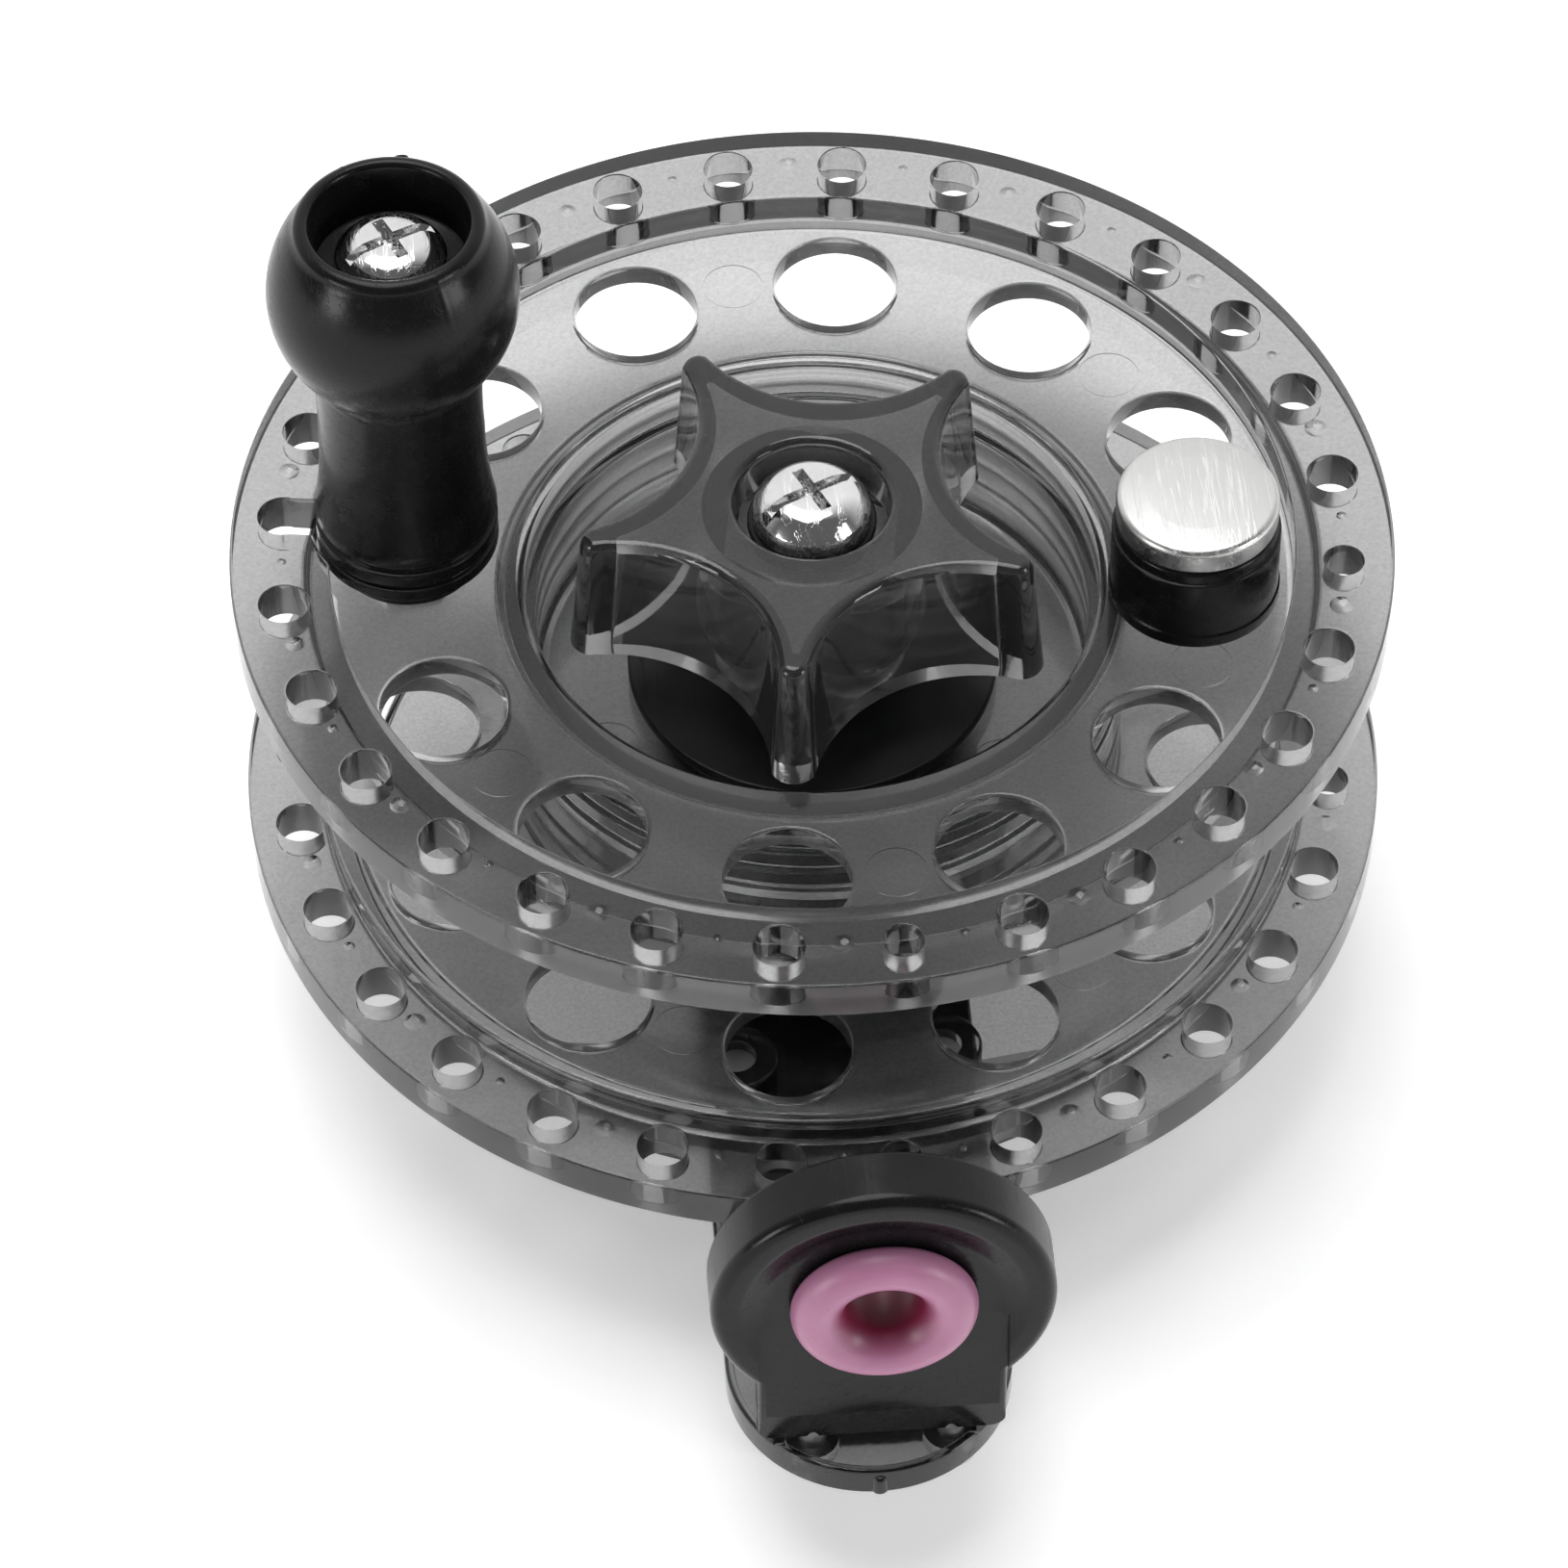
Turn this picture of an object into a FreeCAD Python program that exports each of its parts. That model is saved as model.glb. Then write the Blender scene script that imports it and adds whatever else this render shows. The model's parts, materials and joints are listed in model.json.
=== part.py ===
"""Centre-pin fishing reel: a clear plastic spool on a fixed spindle, with a star drag knob, a handle,
a counterweight, a click pawl, a front line guide and a rod foot.

Units are millimetres. The origin is on the spindle axis in the plane of the foot's seat, +Z points up the
spindle towards the handle, and the line guide is at the -Y end.
"""
import FreeCAD, Part
import math
import os
import re
import Sketcher

SIZES = (
    ("foot_height", 12.0, "foot seat to underside of back plate"),
    ("foot_width", 14.4, "width of the foot bar"),
    ("foot_front", 54.0, "foot toe, ahead of the spindle"),
    ("foot_rear", 24.0, "foot heel, behind the spindle"),
    ("foot_bar", 4.0, "thickness of the foot bar in the middle"),
    ("foot_tip", 2.2, "thickness of the foot bar at its ends"),
    ("foot_taper", 17.0, "length of each tapered end"),
    ("foot_pad_wall", 2.5, "pad under the back plate"),
    ("foot_pad_front", 36.0, "pad edge ahead of the spindle"),
    ("foot_pad_rear", 19.0, "pad edge behind the spindle"),
    ("foot_stem", 10.0, "width of the stem between bar and pad"),
    ("foot_screw_x", 8.0, "foot screws, either side of the middle"),
    ("foot_screw_front", 27.0, "front pair of foot screws"),
    ("foot_screw_rear", 14.0, "rear pair of foot screws"),
    ("foot_screw_radius", 1.5, "foot screw shank"),
    ("foot_boss_radius", 3.2, "bosses that take the foot screws"),
    ("foot_boss_height", 2.0, "bosses above the plate"),
    ("plate_radius", 36.0, "round part of the back plate"),
    ("plate_wall", 2.4, "back plate thickness"),
    ("plate_lip", 0.3, "raised lip round the back plate"),
    ("plate_lip_wall", 0.6, "width of that lip"),
    ("tongue_width", 21.8, "tongue that carries the line guide"),
    ("tongue_reach", 66.3, "tip of the tongue ahead of the spindle"),
    ("gate_radius", 0.8, "moulding gate left on the tongue"),
    ("spool_gap", 2.5, "back plate to spool"),
    ("spool_height", 29.1, "spool, face to face"),
    ("rim_radius", 45.0, "outer radius of both flanges"),
    ("rim_wall", 3.4, "flange rim thickness"),
    ("step_radius", 37.3, "inner edge of the raised rim"),
    ("band_wall", 1.8, "wall between rim and web"),
    ("web_drop", 3.6, "web below the rim face"),
    ("web_wall", 2.0, "web thickness"),
    ("drum_radius", 24.4, "drum that the line winds on"),
    ("drum_wall", 2.0, "drum wall"),
    ("drum_groove", 0.5, "depth of the grooves round the drum"),
    ("drum_groove_width", 0.7, "width of those grooves"),
    ("drum_pitch", 2.2, "spacing of those grooves"),
    ("cup_depth", 15.2, "rim face to cup floor"),
    ("cup_radius", 22.4, "mouth of the cup that holds the drag"),
    ("cup_step", 0.8, "ledge inside the cup"),
    ("cup_step_depth", 3.4, "ledge below the web face"),
    ("cup_lip", 0.6, "chamfer at the mouth of the cup"),
    ("floor_wall", 1.6, "cup floor thickness"),
    ("spigot_gap", 0.1, "gap between spigot and lower drum wall"),
    ("hub_radius", 8.0, "hub tube, outside"),
    ("hub_base", 17.5, "level of the bottom of the hub tube"),
    ("rim_hole_count", 28, "line holes round each rim"),
    ("rim_hole_circle", 41.1, "circle of the line holes"),
    ("rim_hole_radius", 1.95, "line holes"),
    ("rim_hole_small", 1.55, "the two smaller line holes"),
    ("web_hole_count", 12, "places for large holes round the web"),
    ("web_hole_circle", 31.5, "circle of the large holes"),
    ("web_hole_radius", 4.9, "large holes"),
    ("hole_phase", 82.26, "angle of the first hole in both circles"),
    ("spool_screw_circle", 17.5, "circle of the screws that join the spool"),
    ("spool_screw_radius", 1.25, "spool screw shank"),
    ("spool_boss_radius", 3.0, "bosses that take the spool screws"),
    ("spool_screw_phase", 37.26, "angle of the first spool screw"),
    ("spindle_radius", 4.0, "spindle"),
    ("spindle_flat", 3.25, "flats on the spindle, from its axis"),
    ("spindle_head_radius", 5.8, "spindle head"),
    ("spindle_head", 2.2, "spindle head thickness"),
    ("spindle_top", 47.7, "level of the spindle's top"),
    ("flat_base", 31.5, "level where the flats begin"),
    ("running_gap", 0.05, "radial clearance of running fits"),
    ("bush_radius", 5.5, "spool bush, outside"),
    ("spindle_nut_height", 1.9, "thin nut that holds the spindle"),
    ("nut_corner", 7.5, "corner radius of the M8 nuts"),
    ("spool_washer_wall", 0.9, "thrust washer under the hub"),
    ("spool_washer_radius", 7.2, "that washer, outside"),
    ("brake_radius", 14.0, "friction washer"),
    ("brake_wall", 0.6, "friction washer thickness"),
    ("brake_bore", 5.6, "friction washer bore"),
    ("pressure_radius", 14.5, "pressure plate"),
    ("pressure_base", 31.7, "level of the pressure plate's underside"),
    ("pressure_wall", 1.0, "pressure plate thickness"),
    ("follower_radius", 8.2, "spring washer under the star knob"),
    ("follower_base", 38.4, "level of the spring washer's underside"),
    ("follower_wall", 0.8, "spring washer thickness"),
    ("spring_radius", 6.4, "drag spring, mean radius"),
    ("spring_wire", 0.6, "drag spring wire radius"),
    ("spring_turns", 2.5, "drag spring turns"),
    ("star_top", 50.5, "level of the star knob's top"),
    ("star_base", 39.0, "level of the star knob's lower edge"),
    ("star_hub_base", 39.4, "level of the underside of the knob's hub"),
    ("star_tip_top", 17.5, "corners of the tips at the top"),
    ("star_tip_base", 18.3, "corners of the tips at the lower edge"),
    ("star_width_top", 2.2, "width of each tip at the top"),
    ("star_width_base", 3.3, "width of each tip at the lower edge"),
    ("star_side_top", 12.5, "radius of the hollow sides at the top"),
    ("star_side_base", 12.8, "radius of the hollow sides at the lower edge"),
    ("star_inside_top", 15.2, "corners of the inside at the top"),
    ("star_inside_base", 15.9, "corners of the inside at the lower edge"),
    ("star_inside_width", 0.6, "width of the inside at each tip"),
    ("star_inside_side", 12.9, "radius of the sides of the inside"),
    ("star_skin", 1.6, "top skin of the star knob"),
    ("star_hub_radius", 8.5, "hub of the star knob"),
    ("star_recess_radius", 6.0, "recess for the centre screw"),
    ("star_recess_floor", 46.5, "level of that recess's floor"),
    ("star_phase", 261.1, "angle of the first tip"),
    ("drag_nut_base", 40.0, "level of the drag nut's underside"),
    ("drag_nut_height", 5.0, "drag nut height"),
    ("centre_head_radius", 4.6, "centre screw head"),
    ("centre_head", 3.2, "centre screw head height"),
    ("centre_shank", 2.5, "centre screw shank"),
    ("centre_length", 14.0, "centre screw length under the washer"),
    ("centre_washer_radius", 5.0, "centre washer"),
    ("centre_washer_wall", 0.6, "centre washer thickness"),
    ("drive_width", 0.9, "width of the slots in the screw heads"),
    ("drive_depth", 1.4, "depth of those slots"),
    ("handle_circle", 31.4, "handle, from the spindle"),
    ("handle_angle", 172.26, "handle"),
    ("handle_washer_wall", 1.1, "washer under the handle knob"),
    ("handle_washer_radius", 5.6, "that washer, outside"),
    ("handle_gap", 0.3, "handle washer to knob"),
    ("handle_height", 34.9, "handle knob"),
    ("handle_foot_radius", 7.05, "knob at its foot"),
    ("handle_relief", 7.3, "clearance cut in the raised rim for the knob's foot"),
    ("handle_foot_height", 4.5, "height of the straight foot"),
    ("handle_waist_radius", 6.4, "knob at its waist"),
    ("handle_waist_height", 12.5, "height of the waist"),
    ("handle_side_arc", 43.0, "radius of the side between foot and waist"),
    ("handle_neck", 20.3, "height where the ball begins"),
    ("handle_ball_radius", 9.55, "ball of the knob"),
    ("handle_ball_height", 27.4, "height of the ball's widest part"),
    ("handle_under_arc", 9.9, "radius of the ball below its widest part"),
    ("handle_over_arc", 11.1, "radius of the ball above its widest part"),
    ("handle_edge_arc", 0.9, "radius of the ball's top edge"),
    ("handle_groove_low", 1.7, "height of the lower groove at the foot"),
    ("handle_groove_high", 3.4, "height of the upper groove at the foot"),
    ("handle_groove_width", 0.6, "width of those grooves"),
    ("handle_groove_depth", 0.35, "depth of those grooves, and the chamfer at the foot"),
    ("handle_recess_radius", 6.0, "recess in the top of the knob"),
    ("handle_recess_floor", 29.9, "height of that recess's floor"),
    ("handle_bore", 3.25, "bore that turns on the sleeve"),
    ("handle_shank", 2.0, "handle screw shank"),
    ("handle_head_radius", 4.3, "handle screw head"),
    ("handle_head", 3.0, "handle screw head height"),
    ("handle_nut_height", 1.8, "handle nut"),
    ("handle_nut_corner", 3.9, "corner radius of that nut"),
    ("weight_circle", 29.6, "counterweight, from the spindle"),
    ("weight_angle", -7.74, "counterweight"),
    ("weight_cup_radius", 6.65, "cup under the counterweight"),
    ("weight_cup_height", 8.0, "that cup"),
    ("weight_radius", 6.3, "steel counterweight"),
    ("weight_head", 2.6, "part of the weight above the cup"),
    ("weight_shank", 4.9, "part of the weight inside the cup"),
    ("weight_screw", 1.5, "counterweight screw shank"),
    ("ratchet_radius", 12.4, "click ratchet, tips of the teeth"),
    ("ratchet_height", 4.3, "click ratchet"),
    ("ratchet_depth", 1.0, "depth of the teeth"),
    ("ratchet_teeth", 24, "teeth on the click ratchet"),
    ("pawl_arm", 14.0, "pawl pivot to nose"),
    ("pawl_base", 16.4, "level of the pawl's underside"),
    ("pawl_wall", 1.8, "pawl thickness"),
    ("pawl_boss_radius", 2.9, "pawl round its pivot"),
    ("pawl_pin_radius", 1.5, "pawl pin"),
    ("guide_front", 63.9, "front of the guide bracket's rim"),
    ("guide_wall", 5.0, "guide bracket thickness"),
    ("guide_shift", 0.45, "guide to one side of the spindle"),
    ("guide_level", 31.3, "level of the line ring's centre"),
    ("guide_head_radius", 12.8, "round head of the bracket"),
    ("guide_stem_width", 18.6, "stem of the bracket"),
    ("guide_dish_radius", 11.5, "dish in the front of the head"),
    ("guide_dish_depth", 0.9, "depth of that dish"),
    ("guide_dish_floor", 8.0, "flat floor of that dish"),
    ("guide_screw_x", 5.2, "guide screws, either side of the middle"),
    ("guide_screw_radius", 1.1, "guide screw shank"),
    ("ring_radius", 6.95, "line ring"),
    ("ring_seat", 5.6, "part of the ring inside the bracket"),
    ("ring_bore", 2.8, "throat of the line ring"),
    ("ring_front", 2.5, "ring ahead of the floor of the dish"),
    ("ring_rear", 1.2, "ring behind the bracket"),
    ("ring_back_arc", 0.55, "radius of the ring's edge against the bracket"),
    ("ring_edge_arc", 1.9, "radius of the ring's outer edge"),
    ("ring_flare_arc", 2.7, "radius of the flare at the front of the throat"),
    ("ring_flare_end", 0.2, "end of that flare, behind the floor of the dish"),
    ("ring_rear_start", 3.6, "start of the flare at the rear, behind that floor"),
    ("ring_rear_arc", 1.7, "radius of the rear flare"),
    ("ring_rear_flare", 1.4, "widening of the throat at the rear"),
    ("guide_band", 3.5, "height of the sloping band at the bottom of the stem"),
    ("guide_undercut", 0.6, "how far that band slopes back"),
)

PLATE_TOP = "(foot_height + plate_wall)"
SPOOL_BASE = "(foot_height + plate_wall + spool_gap)"
SPOOL_TOP = "(foot_height + plate_wall + spool_gap + spool_height)"
SPOOL_MIDDLE = "(foot_height + plate_wall + spool_gap + spool_height / 2)"
UPPER_WEB = f"({SPOOL_TOP} - web_drop)"
LOWER_WEB = f"({SPOOL_BASE} + web_drop)"
CUP_FLOOR = f"({SPOOL_TOP} - cup_depth)"
SPINDLE_BORE = "(spindle_radius + running_gap)"
HANDLE_BASE = f"({UPPER_WEB} + handle_washer_wall + handle_gap)"
GUIDE_FACE = "(guide_front - guide_dish_depth)"
PAWL_X = "(ratchet_radius - ratchet_depth / 2)"
SCREW_HEAD_RATIO = 1.85
DRIVE_ANGLE = 25
HANDLE_PLACE = 3
WEIGHT_PLACE = 9
SMALL_RIM_HOLES = (15, 21)
NODES = (
    "reel_foot", "back_plate", "foot_screws", "spindle", "spindle_nut", "spool_washer", "pressure_plate",
    "centre_washer", "centre_screw", "guide_bracket", "line_ring", "guide_screws", "pawl_pin",
    "spool_top", "spool_bottom", "spool_screws", "spool_bush", "friction_washer", "click_ratchet",
    "handle_screw", "handle_sleeve", "handle_washer", "handle_nut",
    "counterweight", "counterweight_cup", "counterweight_screw",
    "handle_knob", "star_knob", "drag_nut", "spring_washer", "drag_spring", "click_pawl",
)

document = FreeCAD.newDocument("FishingReel")
sheet = document.addObject("Spreadsheet::Sheet", "Sizes")


def fill_sheet():
    """Write every driving dimension to the sheet, one row each, under its alias."""
    for row, (name, size, meaning) in enumerate(SIZES, start=1):
        sheet.set(f"A{row}", name)
        sheet.set(f"B{row}", str(size))
        sheet.set(f"C{row}", meaning)
        sheet.setAlias(f"B{row}", name)
    document.recompute()


def bound(expression):
    """Point every alias in an expression at the sheet; names before a bracket are functions."""
    return re.sub(r"\b([a-z][a-z_]*)\b(?!\()", r"Sizes.\1", expression)


def number(expression):
    """Present value of an expression."""
    result = sheet.evalExpression(bound(expression))
    return float(getattr(result, "Value", result))


def polar(radius, angle):
    """Expressions for the X and Y of a point at a radius and an angle in degrees."""
    return f"{radius} * cos(({angle}) * 1deg)", f"{radius} * sin(({angle}) * 1deg)"


def new_body(label):
    """An empty PartDesign body."""
    body = document.addObject("PartDesign::Body", label)
    body.Label = label
    return body


def new_sketch(body, role="XY_Plane", level="0"):
    """A sketch on one of the body's origin planes, raised to a level along its normal."""
    sketch = body.newObject("Sketcher::SketchObject", f"{body.Name}_sketch")
    plane = next(item for item in body.Origin.OriginFeatures if item.Role == role)
    sketch.AttachmentSupport = [(plane, "")]
    sketch.MapMode = "FlatFace"
    if level != "0":
        sketch.setExpression("AttachmentOffset.Base.z", bound(level))
    return sketch


def place_point(sketch, geometry, end, across, up):
    """Hold one end of a geometry at (across, up) from the sketch's origin."""
    for kind, axis, expression in (("DistanceX", -2, across), ("DistanceY", -1, up)):
        if expression == "0":
            sketch.addConstraint(Sketcher.Constraint("PointOnObject", geometry, end, axis))
            continue
        rule = Sketcher.Constraint(kind, -1, 1, geometry, end, number(expression))
        index = sketch.addConstraint(rule)
        sketch.setExpression(f"Constraints[{index}]", bound(expression))


def hold_radius(sketch, geometry, radius):
    """Bind the radius of a circle or an arc."""
    index = sketch.addConstraint(Sketcher.Constraint("Radius", geometry, number(radius)))
    sketch.setExpression(f"Constraints[{index}]", bound(radius))


def add_circle(sketch, radius, across="0", up="0"):
    """A circle of a given radius about (across, up)."""
    centre = FreeCAD.Vector(number(across), number(up), 0)
    geometry = sketch.addGeometry(Part.Circle(centre, FreeCAD.Vector(0, 0, 1), number(radius)), False)
    place_point(sketch, geometry, 3, across, up)
    hold_radius(sketch, geometry, radius)


def arc_between(start, finish, radius, side):
    """A minor arc from start to finish; side 1 bulges to the left of the way, -1 to the right."""
    chord = finish - start
    left = FreeCAD.Vector(-chord.y, chord.x, 0) / chord.Length
    inset = math.sqrt(radius ** 2 - (chord.Length / 2) ** 2)
    centre = (start + finish) / 2 - left * inset * side
    circle = Part.Circle(centre, FreeCAD.Vector(0, 0, 1), radius)
    ends = (finish, start) if side > 0 else (start, finish)
    angles = [math.atan2(point.y - centre.y, point.x - centre.x) for point in ends]
    return Part.ArcOfCircle(circle, angles[0], angles[1])


def add_outline(sketch, corners):
    """A closed outline. A corner is (across, up), with (radius, side) added where an arc leaves it."""
    points = [FreeCAD.Vector(number(corner[0]), number(corner[1]), 0) for corner in corners]
    edges = []
    for index, corner in enumerate(corners):
        start, finish = points[index], points[(index + 1) % len(points)]
        if len(corner) == 2:
            edges.append((sketch.addGeometry(Part.LineSegment(start, finish), False), 1, 2))
            continue
        arc = arc_between(start, finish, number(corner[2]), corner[3])
        ends = (2, 1) if corner[3] > 0 else (1, 2)
        edges.append((sketch.addGeometry(arc, False), *ends))
    for index, (geometry, first, last) in enumerate(edges):
        following, entry, _ = edges[(index + 1) % len(edges)]
        sketch.addConstraint(Sketcher.Constraint("Coincident", geometry, last, following, entry))
        place_point(sketch, geometry, first, corners[index][0], corners[index][1])
        if len(corners[index]) > 2:
            hold_radius(sketch, geometry, corners[index][2])


def add_box(sketch, low_across, low_up, high_across, high_up):
    """A rectangle between two corners."""
    add_outline(sketch, (
        (low_across, low_up),
        (high_across, low_up),
        (high_across, high_up),
        (low_across, high_up),
    ))


def pad(body, sketch, length):
    """Extrude a sketch along its normal."""
    feature = body.newObject("PartDesign::Pad", f"{body.Name}_pad")
    feature.Profile = sketch
    feature.setExpression("Length", bound(length))
    return feature


def pocket(body, sketch, depth, along_normal=True):
    """Cut a sketch into the body, along its normal or against it, and check that it cut."""
    document.recompute()
    before = body.Shape.Volume
    feature = body.newObject("PartDesign::Pocket", f"{body.Name}_pocket")
    feature.Profile = sketch
    feature.Reversed = along_normal
    feature.setExpression("Length", bound(depth))
    document.recompute()
    if body.Shape.Volume >= before:
        raise RuntimeError(f"{feature.Name} cuts nothing")
    return feature


def revolve(body, sketch, kind="PartDesign::Revolution"):
    """Turn a sketch about the vertical axis."""
    feature = body.newObject(kind, f"{body.Name}_turned")
    feature.Profile = sketch
    feature.ReferenceAxis = (sketch, ["V_Axis"])
    feature.Angle = 360
    return feature


def repeat_round(body, feature, sketch, count):
    """Repeat a feature evenly round the vertical axis."""
    pattern = body.newObject("PartDesign::PolarPattern", f"{body.Name}_pattern")
    pattern.Originals = [feature]
    pattern.Axis = (sketch, ["N_Axis"])
    pattern.Angle = 360
    pattern.setExpression("Occurrences", bound(count))
    body.Tip = pattern
    return pattern


def turned(label, corners):
    """A body turned from one outline in the XZ plane."""
    body = new_body(label)
    sketch = new_sketch(body, "XZ_Plane")
    add_outline(sketch, corners)
    revolve(body, sketch)
    return body


def tube(label, inner, outer, base, height):
    """A round tube or washer on the vertical axis."""
    return turned(label, (
        (inner, base),
        (outer, base),
        (outer, f"{base} + {height}"),
        (inner, f"{base} + {height}"),
    ))


def stand_at(body, radius, angle):
    """Move a body that is built on the origin's axis to a radius and an angle."""
    across, up = polar(radius, angle)
    body.setExpression("Placement.Base.x", bound(across))
    body.setExpression("Placement.Base.y", bound(up))


def hexagon(label, corner, bore, base, height, phase="0"):
    """A hexagon nut on the vertical axis."""
    body = new_body(label)
    sketch = new_sketch(body, level=base)
    add_outline(sketch, [polar(corner, f"{phase} + {60 * step}") for step in range(6)])
    add_circle(sketch, bore)
    pad(body, sketch, height)
    return body


def ray_box(inner, outer, half_width, angle):
    """Corners of a rectangle along the ray at an angle, in degrees, from the axis."""
    corners = []
    for along, side in ((inner, -1), (outer, -1), (outer, 1), (inner, 1)):
        across = f"({along}) * cos(({angle}) * 1deg) - {side} * {half_width} * sin(({angle}) * 1deg)"
        up = f"({along}) * sin(({angle}) * 1deg) + {side} * {half_width} * cos(({angle}) * 1deg)"
        corners.append((across, up))
    return corners


def pan_screw(label, head_radius, head_height, shank, seat, length):
    """A domed screw, head up, with a cross and a slot in its head."""
    top = f"({seat} + {head_height})"
    body = turned(label, (
        ("0", f"{seat} - {length}"),
        (shank, f"{seat} - {length}"),
        (shank, seat),
        (head_radius, seat),
        (head_radius, f"{seat} + {head_height} * 0.35", f"{head_radius} * 0.62", -1),
        (f"{head_radius} * 0.6", top),
        ("0", top),
    ))
    cuts = (
        (f"{head_radius} * 0.5", "drive_depth", DRIVE_ANGLE),
        (f"{head_radius} * 0.5", "drive_depth", DRIVE_ANGLE + 90),
        (f"{head_radius} * 1.1", "drive_depth * 0.6", DRIVE_ANGLE),
    )
    for reach, depth, angle in cuts:
        sketch = new_sketch(body, level=top)
        add_outline(sketch, ray_box(f"-{reach}", reach, "drive_width / 2", angle))
        pocket(body, sketch, depth, along_normal=False)
    return body


def screw_group(label, places, head_radius, head_height, shank, seat, length):
    """Identical screws, heads down under a seat, as one group of separate solids."""
    screws = []
    for step, (across, up) in enumerate(places):
        stem = document.addObject("Part::Cylinder", f"{label}_stem_{step}")
        head = document.addObject("Part::Cylinder", f"{label}_head_{step}")
        for cylinder, radius, height, base in (
            (stem, shank, length, seat),
            (head, head_radius, head_height, f"{seat} - {head_height}"),
        ):
            cylinder.setExpression("Radius", bound(radius))
            cylinder.setExpression("Height", bound(height))
            cylinder.setExpression("Placement.Base.x", bound(across))
            cylinder.setExpression("Placement.Base.y", bound(up))
            cylinder.setExpression("Placement.Base.z", bound(base))
        screw = document.addObject("Part::Fuse", f"{label}_{step}")
        screw.Base = stem
        screw.Tool = head
        screws.append(screw)
    if len(screws) == 1:
        screws[0].Label = label
        return screws[0]
    group = document.addObject("Part::Compound", label)
    group.Label = label
    group.Links = screws
    return group


def foot_screw_places():
    """Centres of the four foot screws."""
    return [
        (f"{side} * foot_screw_x", up)
        for up in ("-foot_screw_front", "foot_screw_rear")
        for side in (-1, 1)
    ]


def guide_screw_places():
    """Centres of the two guide screws."""
    return [(f"guide_shift + {side} * guide_screw_x", "guide_wall / 2 - guide_front") for side in (-1, 1)]


def spool_screw_places():
    """Centres of the four screws that hold the spool's halves together."""
    return [polar("spool_screw_circle", f"spool_screw_phase + {90 * step}") for step in range(4)]


def double_flat(sketch, radius, flat):
    """A round hole with two flats, which keys a washer to the spindle."""
    reach = f"sqrt(({radius}) ^ 2 - ({flat}) ^ 2)"
    add_outline(sketch, (
        (flat, f"-{reach}"),
        (flat, reach, radius, -1),
        (f"-({flat})", reach),
        (f"-({flat})", f"-{reach}", radius, -1),
    ))


def build_reel_foot():
    """Bar with tapered ends for the rod's reel seat, a stem, and a pad under the back plate."""
    body = new_body("reel_foot")
    bar = new_sketch(body, "YZ_Plane")
    add_outline(bar, (
        ("-foot_front", "0"),
        ("foot_rear", "0"),
        ("foot_rear", "foot_tip"),
        ("foot_rear - foot_taper", "foot_bar"),
        ("foot_taper - foot_front", "foot_bar"),
        ("-foot_front", "foot_tip"),
    ))
    pad(body, bar, "foot_width").SideType = "Symmetric"
    stem = new_sketch(body, level="foot_bar / 2")
    add_box(stem, "-foot_stem / 2", "2 - foot_pad_front", "foot_stem / 2", "foot_rear - foot_taper - 1")
    pad(body, stem, "foot_height - foot_pad_wall / 2 - foot_bar / 2")
    top = new_sketch(body, level="foot_height - foot_pad_wall")
    add_box(top, "-tongue_width / 2", "-foot_pad_front", "tongue_width / 2", "foot_pad_rear")
    pad(body, top, "foot_pad_wall")
    recess = new_sketch(body, level="foot_height")
    add_circle(recess, "spindle_head_radius + 0.3")
    pocket(body, recess, "spindle_head + 0.2", along_normal=False)
    holes = new_sketch(body, level="foot_height")
    for across, up in foot_screw_places():
        add_circle(holes, "foot_screw_radius", across, up)
    pocket(body, holes, "foot_pad_wall", along_normal=False)


def build_back_plate():
    """Round plate with a tongue at the front, a raised lip all round and bosses on top."""
    body = new_body("back_plate")
    nose = "-(tongue_reach - tongue_width / 2)"
    layers = (
        ("0", "foot_height", "plate_wall + plate_lip", pad),
        ("plate_lip_wall", PLATE_TOP, "plate_lip + 1", pocket),
    )
    for inset, level, depth, feature in layers:
        disc = new_sketch(body, level=level)
        add_circle(disc, f"plate_radius - {inset}")
        feature(body, disc, depth)
        tongue = new_sketch(body, level=level)
        add_box(tongue, f"{inset} - tongue_width / 2", nose, f"tongue_width / 2 - {inset}", "0")
        feature(body, tongue, depth)
        tip = new_sketch(body, level=level)
        add_circle(tip, f"tongue_width / 2 - {inset}", "0", nose)
        feature(body, tip, depth)
    gate = new_sketch(body, level="foot_height")
    add_circle(gate, "gate_radius", "0", "gate_radius / 4 - tongue_reach")
    pad(body, gate, "plate_wall")
    seat = new_sketch(body, level=PLATE_TOP)
    half = "(guide_stem_width / 2 + running_gap)"
    add_box(
        seat, f"guide_shift - {half}", f"-{GUIDE_FACE} - running_gap",
        f"guide_shift + {half}", "guide_wall - guide_front + running_gap",
    )
    pocket(body, seat, "plate_lip")
    for across, up in foot_screw_places():
        boss = new_sketch(body, level=f"{PLATE_TOP} - plate_wall / 2")
        add_circle(boss, "foot_boss_radius", across, up)
        pad(body, boss, "foot_boss_height + plate_wall / 2")
    pivot = new_sketch(body, level=f"{PLATE_TOP} - plate_wall / 2")
    add_circle(pivot, "pawl_boss_radius", PAWL_X, "-pawl_arm")
    pad(body, pivot, f"pawl_base - 0.1 - {PLATE_TOP} + plate_wall / 2")
    holes = new_sketch(body, level="foot_height")
    add_circle(holes, "spindle_radius")
    add_circle(holes, "pawl_pin_radius", PAWL_X, "-pawl_arm")
    for across, up in guide_screw_places():
        add_circle(holes, "guide_screw_radius", across, up)
    for across, up in foot_screw_places():
        add_circle(holes, "foot_screw_radius", across, up)
    pocket(body, holes, "plate_wall + foot_boss_height")


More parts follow.
